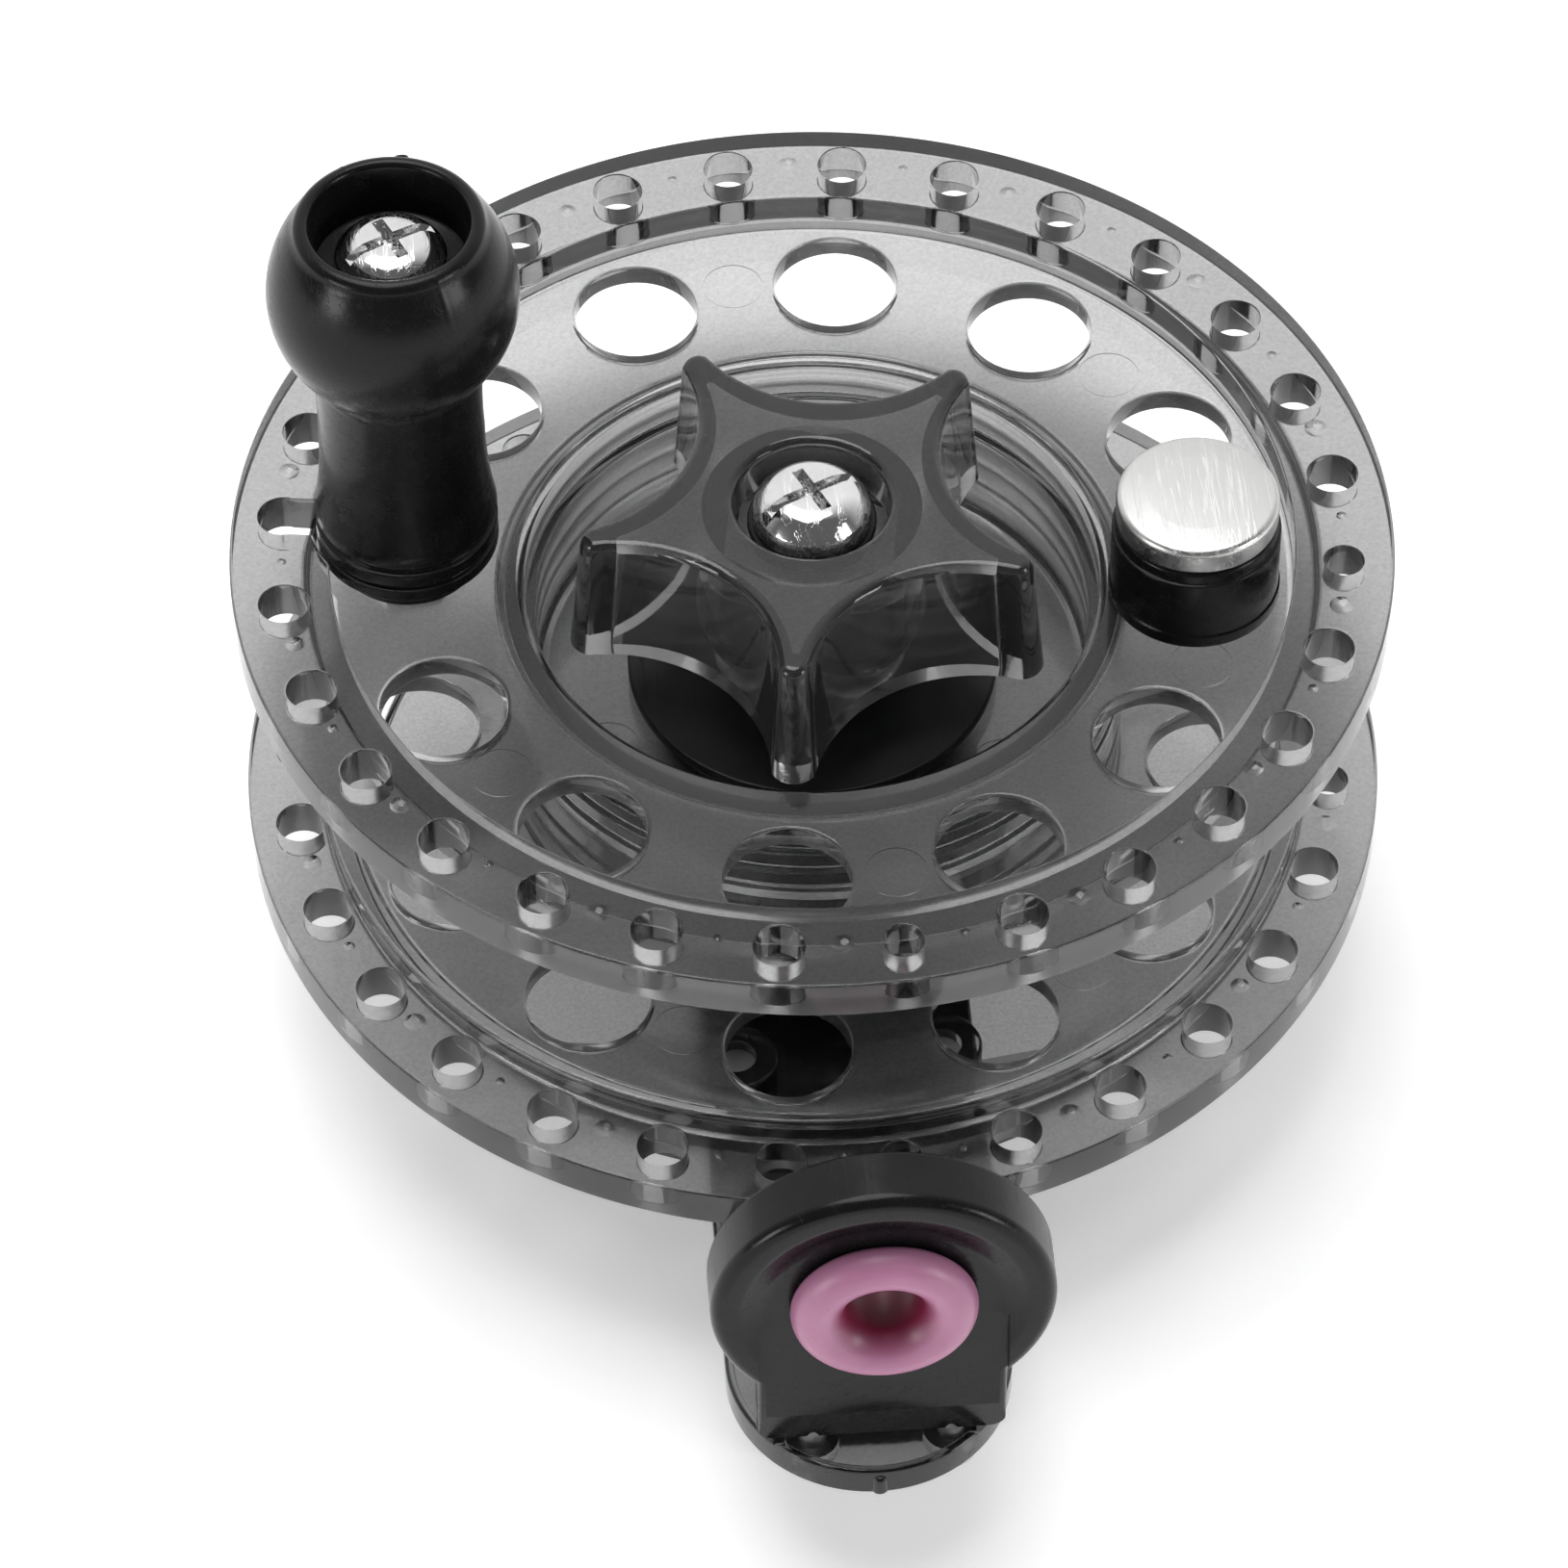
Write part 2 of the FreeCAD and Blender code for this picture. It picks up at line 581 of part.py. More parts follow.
def cut_flange_holes(body, level, depth, taken=()):
    """Line holes round the rim and large holes round the web, leaving out the places that are taken."""
    sketch = new_sketch(body, level=level)
    for step in range(int(number("rim_hole_count"))):
        across, up = polar("rim_hole_circle", f"hole_phase + {step} * 360 / rim_hole_count")
        radius = "rim_hole_small" if step in SMALL_RIM_HOLES else "rim_hole_radius"
        add_circle(sketch, radius, across, up)
    for step in range(int(number("web_hole_count"))):
        if step not in taken:
            across, up = polar("web_hole_circle", f"hole_phase + {step} * 360 / web_hole_count")
            add_circle(sketch, "web_hole_radius", across, up)
    pocket(body, sketch, depth)


def cut_drum_grooves(body, first_level, count):
    """Shallow square grooves round the drum, one pitch apart."""
    sketch = new_sketch(body, "XZ_Plane")
    for step in range(count):
        low = f"{first_level} + {step} * drum_pitch"
        add_box(sketch, "drum_radius - drum_groove", low, "drum_radius + 1", f"{low} + drum_groove_width")
    revolve(body, sketch, "PartDesign::Groove")


def build_spool_top():
    """Upper flange with its raised rim, the drag cup, half of the drum and the hub tube."""
    body = turned("spool_top", (
        ("step_radius", SPOOL_TOP),
        ("rim_radius", SPOOL_TOP),
        ("rim_radius", f"{SPOOL_TOP} - rim_wall"),
        ("step_radius + band_wall", f"{SPOOL_TOP} - rim_wall"),
        ("step_radius + band_wall", f"{UPPER_WEB} - web_wall"),
        ("drum_radius", f"{UPPER_WEB} - web_wall"),
        ("drum_radius", SPOOL_MIDDLE),
        ("drum_radius - drum_wall - spigot_gap", SPOOL_MIDDLE),
        ("drum_radius - drum_wall - spigot_gap", f"{CUP_FLOOR} - floor_wall"),
        ("hub_radius", f"{CUP_FLOOR} - floor_wall"),
        ("hub_radius", "hub_base"),
        ("bush_radius", "hub_base"),
        ("bush_radius", CUP_FLOOR),
        ("cup_radius - cup_step", CUP_FLOOR),
        ("cup_radius - cup_step", f"{UPPER_WEB} - cup_step_depth"),
        ("cup_radius", f"{UPPER_WEB} - cup_step_depth"),
        ("cup_radius", f"{UPPER_WEB} - cup_lip"),
        ("cup_radius + cup_lip", UPPER_WEB),
        ("step_radius", UPPER_WEB),
    ))
    for across, up in spool_screw_places():
        boss = new_sketch(body, level=f"{LOWER_WEB} + web_wall")
        add_circle(boss, "spool_boss_radius", across, up)
        pad(body, boss, f"{CUP_FLOOR} - floor_wall / 2 - {LOWER_WEB} - web_wall")
    pilots = new_sketch(body, level=f"{LOWER_WEB} + web_wall")
    for across, up in spool_screw_places():
        add_circle(pilots, "spool_screw_radius", across, up)
    pocket(body, pilots, f"{CUP_FLOOR} - floor_wall - {LOWER_WEB} - web_wall")
    cut_flange_holes(body, f"{UPPER_WEB} - web_wall", "web_wall + web_drop", taken=(HANDLE_PLACE, WEIGHT_PLACE))
    fixings = new_sketch(body, level=f"{UPPER_WEB} - web_wall")
    add_circle(fixings, "handle_shank", *polar("handle_circle", "handle_angle"))
    add_circle(fixings, "weight_screw", *polar("weight_circle", "weight_angle"))
    pocket(body, fixings, "web_wall")
    relief = new_sketch(body, level=UPPER_WEB)
    add_circle(relief, "handle_relief", *polar("handle_circle", "handle_angle"))
    pocket(body, relief, "web_drop")
    slot = new_sketch(body, level=f"{SPOOL_TOP} - rim_wall")
    add_outline(slot, ray_box("step_radius", "rim_hole_circle", "(rim_hole_radius - 0.05)", "handle_angle"))
    pocket(body, slot, "rim_wall")
    cut_drum_grooves(body, f"{SPOOL_MIDDLE} + 0.9", 4)


def build_spool_bottom():
    """Lower flange with its rim, a closed web and the lower half of the drum wall."""
    body = turned("spool_bottom", (
        ("step_radius", SPOOL_BASE),
        ("rim_radius", SPOOL_BASE),
        ("rim_radius", f"{SPOOL_BASE} + rim_wall"),
        ("step_radius + band_wall", f"{SPOOL_BASE} + rim_wall"),
        ("step_radius + band_wall", f"{LOWER_WEB} + web_wall"),
        ("drum_radius", f"{LOWER_WEB} + web_wall"),
        ("drum_radius", SPOOL_MIDDLE),
        ("drum_radius - drum_wall", SPOOL_MIDDLE),
        ("drum_radius - drum_wall", f"{LOWER_WEB} + web_wall"),
        ("hub_radius", f"{LOWER_WEB} + web_wall"),
        ("hub_radius", LOWER_WEB),
        ("step_radius", LOWER_WEB),
    ))
    cut_flange_holes(body, SPOOL_BASE, "web_drop + web_wall")
    screws = new_sketch(body, level=LOWER_WEB)
    for across, up in spool_screw_places():
        add_circle(screws, "spool_screw_radius", across, up)
    pocket(body, screws, "web_wall")
    cut_drum_grooves(body, f"{LOWER_WEB} + web_wall + 1.2", 3)


def build_spindle():
    """Post with a flat head below the plate, two flats along its upper half and a tapped top."""
    body = turned("spindle", (
        ("0", "foot_height - spindle_head"),
        ("spindle_head_radius", "foot_height - spindle_head"),
        ("spindle_head_radius", "foot_height"),
        ("spindle_radius", "foot_height"),
        ("spindle_radius", "spindle_top"),
        ("centre_shank", "spindle_top"),
        ("centre_shank", "spindle_top - centre_length"),
        ("0", "spindle_top - centre_length"),
    ))
    flats = new_sketch(body, level="flat_base")
    for side in (-1, 1):
        add_box(
            flats,
            f"{side} * (spindle_flat + {1 - side} / 2 * (spindle_radius - spindle_flat + 1))",
            "-spindle_radius - 1",
            f"{side} * (spindle_flat + {1 + side} / 2 * (spindle_radius - spindle_flat + 1))",
            "spindle_radius + 1",
        )
    pocket(body, flats, "spindle_top - flat_base")


def keyed_washer(label, outer, base, height):
    """A washer that can't turn on the spindle, because its hole has two flats."""
    body = new_body(label)
    sketch = new_sketch(body, level=base)
    add_circle(sketch, outer)
    double_flat(sketch, SPINDLE_BORE, "spindle_flat + running_gap")
    pad(body, sketch, height)


def build_drag_spring():
    """Open coil spring between the pressure plate and the spring washer."""
    body = new_body("drag_spring")
    seat = "(pressure_base + pressure_wall)"
    sketch = new_sketch(body, "XZ_Plane")
    add_circle(sketch, "spring_wire", "spring_radius", f"{seat} + spring_wire + 0.05")
    coil = body.newObject("PartDesign::AdditiveHelix", "drag_spring_coil")
    coil.Profile = sketch
    coil.ReferenceAxis = (sketch, ["V_Axis"])
    coil.Mode = "height-turns-angle"
    coil.setExpression("Height", bound(f"follower_base - {seat} - 2 * spring_wire - 0.1"))
    coil.setExpression("Turns", bound("spring_turns"))


def star_outline(sketch, corner_radius, width, side_radius, tip_radius):
    """Five rounded tips joined by hollow sides."""
    corners = []
    for step in range(5):
        angle = f"star_phase + {72 * step}"
        for side, radius, bulge in ((-1, tip_radius, -1), (1, side_radius, 1)):
            half = f"asin({width} / 2 / ({corner_radius})) / 1deg"
            across, up = polar(corner_radius, f"{angle} + {side} * {half}")
            corners.append((across, up, radius, bulge))
    add_outline(sketch, corners)


def star_loft(body, kind, low, high):
    """Loft between two star outlines, each given as (level, corner radius, width, side radius)."""
    sketches = []
    for level, corner_radius, width, side_radius in (low, high):
        sketch = new_sketch(body, level=level)
        star_outline(sketch, corner_radius, width, side_radius, f"{width} * 0.56")
        sketches.append(sketch)
    loft = body.newObject(kind, f"{body.Name}_loft")
    loft.Profile = sketches[0]
    loft.Sections = [sketches[1]]
    loft.Ruled = True


def build_star_knob():
    """Hollow five-pointed drag knob with a hub that holds the drag nut."""
    body = new_body("star_knob")
    star_loft(
        body, "PartDesign::AdditiveLoft",
        ("star_base", "star_tip_base", "star_width_base", "star_side_base"),
        ("star_top", "star_tip_top", "star_width_top", "star_side_top"),
    )
    star_loft(
        body, "PartDesign::SubtractiveLoft",
        ("star_base", "star_inside_base", "star_inside_width", "star_inside_side"),
        ("star_top - star_skin", "star_inside_top", "star_inside_width", "star_inside_side"),
    )
    hub = new_sketch(body, level="star_hub_base")
    add_circle(hub, "star_hub_radius")
    pad(body, hub, "star_top - star_skin / 2 - star_hub_base")
    recess = new_sketch(body, level="star_recess_floor")
    add_circle(recess, "star_recess_radius")
    pocket(body, recess, "star_top - star_recess_floor + 1")
    bore = new_sketch(body, level="star_hub_base")
    add_circle(bore, f"{SPINDLE_BORE} + 0.1")
    pocket(body, bore, "star_recess_floor - star_hub_base + 0.5")
    nut = new_sketch(body, level="star_hub_base")
    add_outline(nut, [polar("nut_corner", f"star_phase + {60 * step}") for step in range(6)])
    pocket(body, nut, "drag_nut_base + drag_nut_height - star_hub_base")


def build_handle_knob():
    """Ball-topped knob with a waist, two grooves at its foot and a deep recess for the screw head."""
    def height(text):
        return f"{HANDLE_BASE} + {text}"

    body = turned("handle_knob", (
        ("handle_bore", HANDLE_BASE),
        ("handle_foot_radius - handle_groove_depth", HANDLE_BASE),
        ("handle_foot_radius", height("handle_groove_depth")),
        ("handle_foot_radius", height("handle_foot_height"), "handle_side_arc", 1),
        ("handle_waist_radius", height("handle_waist_height")),
        ("handle_waist_radius + 0.15", height("handle_neck"), "handle_under_arc", -1),
        ("handle_ball_radius", height("handle_ball_height"), "handle_over_arc", -1),
        ("handle_ball_radius * 0.765", height("handle_height - 0.8"), "handle_edge_arc", -1),
        ("handle_recess_radius + 0.5", height("handle_height")),
        ("handle_recess_radius", height("handle_height - 0.4")),
        ("handle_recess_radius", height("handle_recess_floor")),
        ("handle_bore", height("handle_recess_floor")),
    ))
    sketch = new_sketch(body, "XZ_Plane")
    for low in ("handle_groove_low", "handle_groove_high"):
        add_box(
            sketch,
            "handle_foot_radius - handle_groove_depth", height(low),
            "handle_foot_radius + 1", height(f"{low} + handle_groove_width"),
        )
    revolve(body, sketch, "PartDesign::Groove")
    stand_at(body, "handle_circle", "handle_angle")


def build_handle_fixings():
    """Screw, sleeve, washer and nut that carry the handle knob."""
    sleeve_top = f"({HANDLE_BASE} + handle_recess_floor + 0.2)"
    sleeve_base = f"({UPPER_WEB} + handle_washer_wall)"
    nut_base = f"({UPPER_WEB} - web_wall - handle_nut_height)"
    pieces = (
        pan_screw(
            "handle_screw", "handle_head_radius", "handle_head", "handle_shank",
            sleeve_top, f"({sleeve_top} - {nut_base} + 0.4)",
        ),
        tube(
            "handle_sleeve", "handle_shank", "handle_bore - running_gap",
            sleeve_base, f"{sleeve_top} - {sleeve_base}",
        ),
        tube("handle_washer", "handle_shank", "handle_washer_radius", UPPER_WEB, "handle_washer_wall"),
        hexagon("handle_nut", "handle_nut_corner", "handle_shank", nut_base, "handle_nut_height"),
    )
    for body in pieces:
        stand_at(body, "handle_circle", "handle_angle")


def build_counterweight():
    """Steel weight in a plastic cup, opposite the handle, held by a screw from below."""
    cup = turned("counterweight_cup", (
        ("weight_shank", UPPER_WEB),
        ("weight_cup_radius", UPPER_WEB),
        ("weight_cup_radius", f"{UPPER_WEB} + weight_cup_height - 1.2"),
        ("weight_cup_radius - 0.2", f"{UPPER_WEB} + weight_cup_height - 1.2"),
        ("weight_cup_radius - 0.2", f"{UPPER_WEB} + weight_cup_height - 0.4"),
        ("weight_cup_radius - 0.6", f"{UPPER_WEB} + weight_cup_height"),
        ("weight_shank", f"{UPPER_WEB} + weight_cup_height"),
    ))
    weight = turned("counterweight", (
        ("weight_screw", UPPER_WEB),
        ("weight_shank", UPPER_WEB),
        ("weight_shank", f"{UPPER_WEB} + weight_cup_height"),
        ("weight_radius - 0.3", f"{UPPER_WEB} + weight_cup_height"),
        ("weight_radius", f"{UPPER_WEB} + weight_cup_height + 0.3"),
        ("weight_radius", f"{UPPER_WEB} + weight_cup_height + weight_head - 0.4"),
        ("weight_radius - 0.4", f"{UPPER_WEB} + weight_cup_height + weight_head"),
        ("0", f"{UPPER_WEB} + weight_cup_height + weight_head"),
        ("0", f"{UPPER_WEB} + weight_cup_height - 1"),
        ("weight_screw", f"{UPPER_WEB} + weight_cup_height - 1"),
    ))
    for body in (cup, weight):
        stand_at(body, "weight_circle", "weight_angle")
    screw_group(
        "counterweight_screw", [polar("weight_circle", "weight_angle")],
        f"weight_screw * {SCREW_HEAD_RATIO}", "weight_screw * 1.2", "weight_screw",
        f"({UPPER_WEB} - web_wall)", "web_wall + weight_cup_height - 1.5",
    )


def build_click():
    """Toothed ring under the spool, the pawl that clicks on it, and the pawl's pin."""
    ratchet = new_body("click_ratchet")
    level = f"{LOWER_WEB} - ratchet_height"
    ring = new_sketch(ratchet, level=level)
    add_circle(ring, "ratchet_radius")
    add_circle(ring, "hub_radius")
    pad(ratchet, ring, "ratchet_height")
    tooth = new_sketch(ratchet, level=level)
    add_outline(tooth, (
        ("ratchet_radius - ratchet_depth", "0"),
        ("ratchet_radius + 0.1", "-0.95"),
        ("ratchet_radius + 0.1", "0.95"),
    ))
    gap = pocket(ratchet, tooth, "ratchet_height")
    repeat_round(ratchet, gap, tooth, "ratchet_teeth")

    pawl = new_body("click_pawl")
    boss = new_sketch(pawl, level="pawl_base")
    add_circle(boss, "pawl_boss_radius", PAWL_X, "-pawl_arm")
    pad(pawl, boss, "pawl_wall")
    arm = new_sketch(pawl, level="pawl_base")
    add_outline(arm, (
        (f"{PAWL_X} - 1.3", "-pawl_arm"),
        (f"{PAWL_X} + 2.4", "-pawl_arm"),
        (f"{PAWL_X} + 1.7", "-1.5"),
        (f"{PAWL_X} + 1.5", "0.6"),
        (f"{PAWL_X} + 0.45", "0.55"),
        ("ratchet_radius - ratchet_depth + 0.2", "0"),
        (f"{PAWL_X} + 0.45", "-0.55"),
        (f"{PAWL_X} + 0.85", "-0.75"),
        (f"{PAWL_X} - 1.3", "2.5 - pawl_arm"),
    ))
    pad(pawl, arm, "pawl_wall")
    bore = new_sketch(pawl, level="pawl_base")
    add_circle(bore, "pawl_pin_radius + running_gap", PAWL_X, "-pawl_arm")
    pocket(pawl, bore, "pawl_wall")

    pin = new_body("pawl_pin")
    sketch = new_sketch(pin, level="foot_height")
    add_circle(sketch, "pawl_pin_radius", PAWL_X, "-pawl_arm")
    pad(pin, sketch, "pawl_base + pawl_wall + 0.2 - foot_height")


def build_guide_bracket():
    """Upright plate on the tongue; a raised rim runs round its head, which holds the line ring."""
    body = new_body("guide_bracket")
    back = "guide_front - guide_wall"
    head = new_sketch(body, "XZ_Plane", back)
    add_circle(head, "guide_head_radius", "guide_shift", "guide_level")
    pad(body, head, "guide_wall")
    stem = new_sketch(body, "XZ_Plane", back)
    add_box(
        stem, "guide_shift - guide_stem_width / 2", PLATE_TOP,
        "guide_shift + guide_stem_width / 2", "guide_level",
    )
    pad(body, stem, "guide_wall - guide_dish_depth")
    document.recompute()
    dish = body.newObject("PartDesign::SubtractiveCone", "guide_bracket_dish")
    dish.AttachmentSupport = head.AttachmentSupport
    dish.MapMode = "FlatFace"
    dish.setExpression("AttachmentOffset.Base.x", bound("guide_shift"))
    dish.setExpression("AttachmentOffset.Base.y", bound("guide_level"))
    dish.setExpression("AttachmentOffset.Base.z", bound("guide_front - guide_dish_depth"))
    dish.setExpression("Radius1", bound("guide_dish_floor"))
    dish.setExpression("Radius2", bound("guide_dish_radius"))
    dish.setExpression("Height", bound("guide_dish_depth"))
    hole = new_sketch(body, "XZ_Plane", back)
    add_circle(hole, "ring_seat", "guide_shift", "guide_level")
    pocket(body, hole, "guide_wall")
    face = new_sketch(body, "YZ_Plane", "guide_shift - guide_stem_width / 2")
    add_outline(face, (
        ("-guide_front - 0.1", PLATE_TOP),
        (f"guide_undercut - {GUIDE_FACE}", PLATE_TOP),
        (f"-{GUIDE_FACE}", f"{PLATE_TOP} + guide_band"),
        (f"-{GUIDE_FACE}", "guide_level"),
        ("-guide_front - 0.1", "guide_level"),
    ))
    pocket(body, face, "guide_stem_width")
    screws = new_sketch(body, level=PLATE_TOP)
    for across, up in guide_screw_places():
        add_circle(screws, "guide_screw_radius", across, up)
    pocket(body, screws, "6.5")


def build_line_ring():
    """Ceramic ring with a flared throat, pressed into the bracket with its axis along the line."""
    body = turned("line_ring", (
        ("ring_radius - ring_back_arc", "0", "ring_back_arc", -1),
        ("ring_radius", "ring_back_arc"),
        ("ring_radius", "ring_front - ring_edge_arc", "ring_edge_arc", -1),
        ("ring_radius - ring_edge_arc", "ring_front", "ring_flare_arc", -1),
        ("ring_bore", "-ring_flare_end"),
        ("ring_bore", "-ring_rear_start", "ring_rear_arc", -1),
        ("ring_bore + ring_rear_flare", "guide_dish_depth - guide_wall - ring_rear"),
        ("ring_seat", "guide_dish_depth - guide_wall - ring_rear"),
        ("ring_seat", "0"),
    ))
    body.Placement = FreeCAD.Placement(FreeCAD.Vector(), FreeCAD.Rotation(FreeCAD.Vector(1, 0, 0), 90))
    body.setExpression("Placement.Base.x", bound("guide_shift"))
    body.setExpression("Placement.Base.y", bound("guide_dish_depth - guide_front"))
    body.setExpression("Placement.Base.z", bound("guide_level"))


def build_frame():
    """Foot, back plate, spindle, line guide and the screws and washers that stay with them."""
    build_reel_foot()
    build_back_plate()
    build_spindle()
    build_guide_bracket()
    build_line_ring()
    hexagon("spindle_nut", "nut_corner", "spindle_radius", PLATE_TOP, "spindle_nut_height")
    washer_base = f"({PLATE_TOP} + spindle_nut_height)"
    tube("spool_washer", SPINDLE_BORE, "spool_washer_radius", washer_base, "spool_washer_wall")
    keyed_washer("pressure_plate", "pressure_radius", "pressure_base", "pressure_wall")
    tube("centre_washer", "centre_shank", "centre_washer_radius", "spindle_top", "centre_washer_wall")
    seat = "(spindle_top + centre_washer_wall)"
    pan_screw("centre_screw", "centre_head_radius", "centre_head", "centre_shank", seat, "centre_length")
    screw_group(
        "foot_screws", foot_screw_places(),
        f"foot_screw_radius * {SCREW_HEAD_RATIO}", "foot_screw_radius * 1.2", "foot_screw_radius",
        "(foot_height - foot_pad_wall)", "foot_pad_wall + plate_wall + foot_boss_height - 1",
    )
    screw_group(
        "guide_screws", guide_screw_places(),
        f"guide_screw_radius * {SCREW_HEAD_RATIO}", "guide_screw_radius * 1.2", "guide_screw_radius",
        "foot_height", "plate_wall + 6",
    )


def build_spool():
    """The two halves of the spool with their screws, the bush and the friction washer."""
    build_spool_top()
    build_spool_bottom()
    tube("spool_bush", SPINDLE_BORE, "bush_radius", "hub_base", f"{CUP_FLOOR} - hub_base")
    tube("friction_washer", "brake_bore", "brake_radius", CUP_FLOOR, "brake_wall")
    screw_group(
        "spool_screws", spool_screw_places(),
        f"spool_screw_radius * {SCREW_HEAD_RATIO}", "spool_screw_radius * 1.2", "spool_screw_radius",
        LOWER_WEB, "web_wall + 5.5",
    )


def build_drag():
    """Star knob, its nut, and the spring and washer that press on the pressure plate."""
    build_star_knob()
    hexagon("drag_nut", "nut_corner", SPINDLE_BORE, "drag_nut_base", "drag_nut_height", "star_phase")
    keyed_washer("spring_washer", "follower_radius", "follower_base", "follower_wall")
    build_drag_spring()


def check_and_export():
    """Stop on any failed object or bad shape, then write one STEP file for each sub-part."""
    document.recompute()
    for item in document.Objects:
        if "Invalid" in item.State or "Error" in item.State:
            raise RuntimeError(f"{item.Name} failed: {item.State}")
    os.makedirs("parts", exist_ok=True)
    for node in NODES:
        shape = document.getObjectsByLabel(node)[0].Shape
        if shape.isNull() or not shape.isValid():
            raise RuntimeError(f"{node} has no valid shape")
        shape.exportStep(f"parts/{node}.step")


fill_sheet()
build_frame()
build_spool()
build_click()
build_handle_knob()
build_handle_fixings()
build_counterweight()
build_drag()
check_and_export()
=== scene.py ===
"""Looks for the clear plastic fishing reel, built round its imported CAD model."""
import json
import math
import random

import bmesh
import bpy
from mathutils import Matrix, Vector


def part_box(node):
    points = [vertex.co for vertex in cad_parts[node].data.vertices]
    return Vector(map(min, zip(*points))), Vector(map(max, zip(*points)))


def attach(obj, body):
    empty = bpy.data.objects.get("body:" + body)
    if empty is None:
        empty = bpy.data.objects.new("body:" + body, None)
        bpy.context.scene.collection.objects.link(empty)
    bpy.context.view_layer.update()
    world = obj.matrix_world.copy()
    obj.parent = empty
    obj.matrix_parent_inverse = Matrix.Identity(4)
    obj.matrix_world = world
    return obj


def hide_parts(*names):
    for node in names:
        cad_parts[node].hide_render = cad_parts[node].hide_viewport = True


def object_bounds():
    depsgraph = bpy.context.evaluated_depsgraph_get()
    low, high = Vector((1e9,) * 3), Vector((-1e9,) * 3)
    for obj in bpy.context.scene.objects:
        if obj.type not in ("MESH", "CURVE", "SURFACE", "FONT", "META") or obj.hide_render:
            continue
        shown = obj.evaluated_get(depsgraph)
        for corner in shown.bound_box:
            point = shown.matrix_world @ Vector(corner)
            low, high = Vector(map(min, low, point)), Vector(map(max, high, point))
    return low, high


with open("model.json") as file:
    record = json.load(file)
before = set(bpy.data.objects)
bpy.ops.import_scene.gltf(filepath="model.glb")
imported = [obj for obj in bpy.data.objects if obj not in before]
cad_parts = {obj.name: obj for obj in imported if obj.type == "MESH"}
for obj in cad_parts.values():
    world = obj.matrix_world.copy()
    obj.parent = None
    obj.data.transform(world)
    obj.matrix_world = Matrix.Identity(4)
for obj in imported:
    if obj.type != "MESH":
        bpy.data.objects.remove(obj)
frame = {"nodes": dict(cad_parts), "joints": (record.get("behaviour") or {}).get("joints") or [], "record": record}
cad_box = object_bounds()

MM = 0.001
ARC_STEP = math.radians(9)
TAU = 2 * math.pi


# ---------------------------------------------------------------- places, read from the frame, in millimetres

def low(node):
    """Lowest corner of a CAD node in millimetres."""
    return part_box(node)[0] / MM


def high(node):
    """Highest corner of a CAD node in millimetres."""
    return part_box(node)[1] / MM


def centre(node):
    """Middle of a CAD node's box in millimetres."""
    return (low(node) + high(node)) / 2


JOINTS = {joint["name"]: Vector(joint.get("pos_m", (0, 0, 0))) / MM for joint in frame["joints"]}
HANDLE = JOINTS["handle_spin"].xy
WEIGHT = centre("counterweight").xy
HANDLE_ANGLE = math.atan2(HANDLE.y, HANDLE.x)
SPOOL_TOP = high("spool_top").z
SPOOL_BASE = low("spool_bottom").z
SPOOL_MIDDLE = high("spool_bottom").z
RIM = high("spool_top").x
PLATE_BASE = low("back_plate").z
PLATE_TOP = low("guide_bracket").z
GUIDE_X = centre("guide_bracket").x
GUIDE_FRONT = low("guide_bracket").y
GUIDE_LEVEL = centre("line_ring").z
STAR_TOP = high("star_knob").z
STAR_BASE = low("star_knob").z

# sizes that the boxes don't give, as in the CAD model
RIM_WALL = 3.4
STEP_RADIUS = 37.3
BAND_WALL = 1.8
WEB_DROP = 3.6
WEB_WALL = 2.0
DRUM_RADIUS = 24.4
DRUM_WALL = 2.0
GROOVE_DEPTH = 0.5
GROOVE_WIDTH = 0.7
GROOVE_PITCH = 2.2
CUP_RADIUS = 22.4
CUP_DEPTH = 15.2
CUP_LEDGE = 0.8
CUP_LEDGE_DEPTH = 3.4
FLOOR_WALL = 1.6
HUB_RADIUS = 8.0
BUSH_RADIUS = 5.5
RIM_HOLES = 28
RIM_HOLE_CIRCLE = 41.1
RIM_HOLE_RADIUS = 1.95
SMALL_HOLE_RADIUS = 1.55
SMALL_HOLES = (15, 21)
WEB_HOLES = 12
WEB_HOLE_CIRCLE = 31.5
WEB_HOLE_RADIUS = 4.9
HANDLE_PLACE = 3
WEIGHT_PLACE = 9
HOLE_PHASE = math.radians(82.26)
HANDLE_RELIEF = 7.3
HANDLE_BORE = 2.03
WEIGHT_BORE = 1.53
BOSS_CIRCLE = 17.5
BOSS_RADIUS = 3.0
BOSS_REACH = 8.95
BOSS_PHASE = math.radians(37.26)
PILOT_RADIUS = 1.27
PLATE_RADIUS = 36.0
TONGUE_WIDTH = 21.8
TONGUE_REACH = 66.3
PLATE_LIP = 0.3
PLATE_LIP_WALL = 0.6
FOOT_SCREWS = [Vector((side * 8.0, along)) for along in (-27.0, 14.0) for side in (-1, 1)]
FOOT_BORE = 1.52
FOOT_BOSS_RADIUS = 3.2
FOOT_BOSS_HEIGHT = 2.0
FOOT_PAD_WALL = 2.5
PAWL_BOSS_RADIUS = 2.9
GUIDE_STEM = 18.6
GUIDE_RIM = 0.9
GUIDE_SEAT = 5.62
RING_SEAT = 5.6
RING_BORE = 2.8
RING_FRONT = 2.5
RING_CREST = 1.9
RING_BACK_ARC = 0.55
STAR_SKIN = 1.6
STAR_RECESS = 6.0
STAR_RECESS_FLOOR = 46.5
STAR_PHASE = math.radians(261.1)
DRIVE_ANGLE = math.radians(25)

# what only the looks have
EJECTOR_RADIUS = 2.4
EJECTOR_DEPTH = 0.07
FLOOR_EJECTOR_CIRCLE = 17.8
# painted shade: how far the walls of the spool's holes are darkened
HOLE_PAINTED_SHADE = 0.75
OVERCUT = 0.05


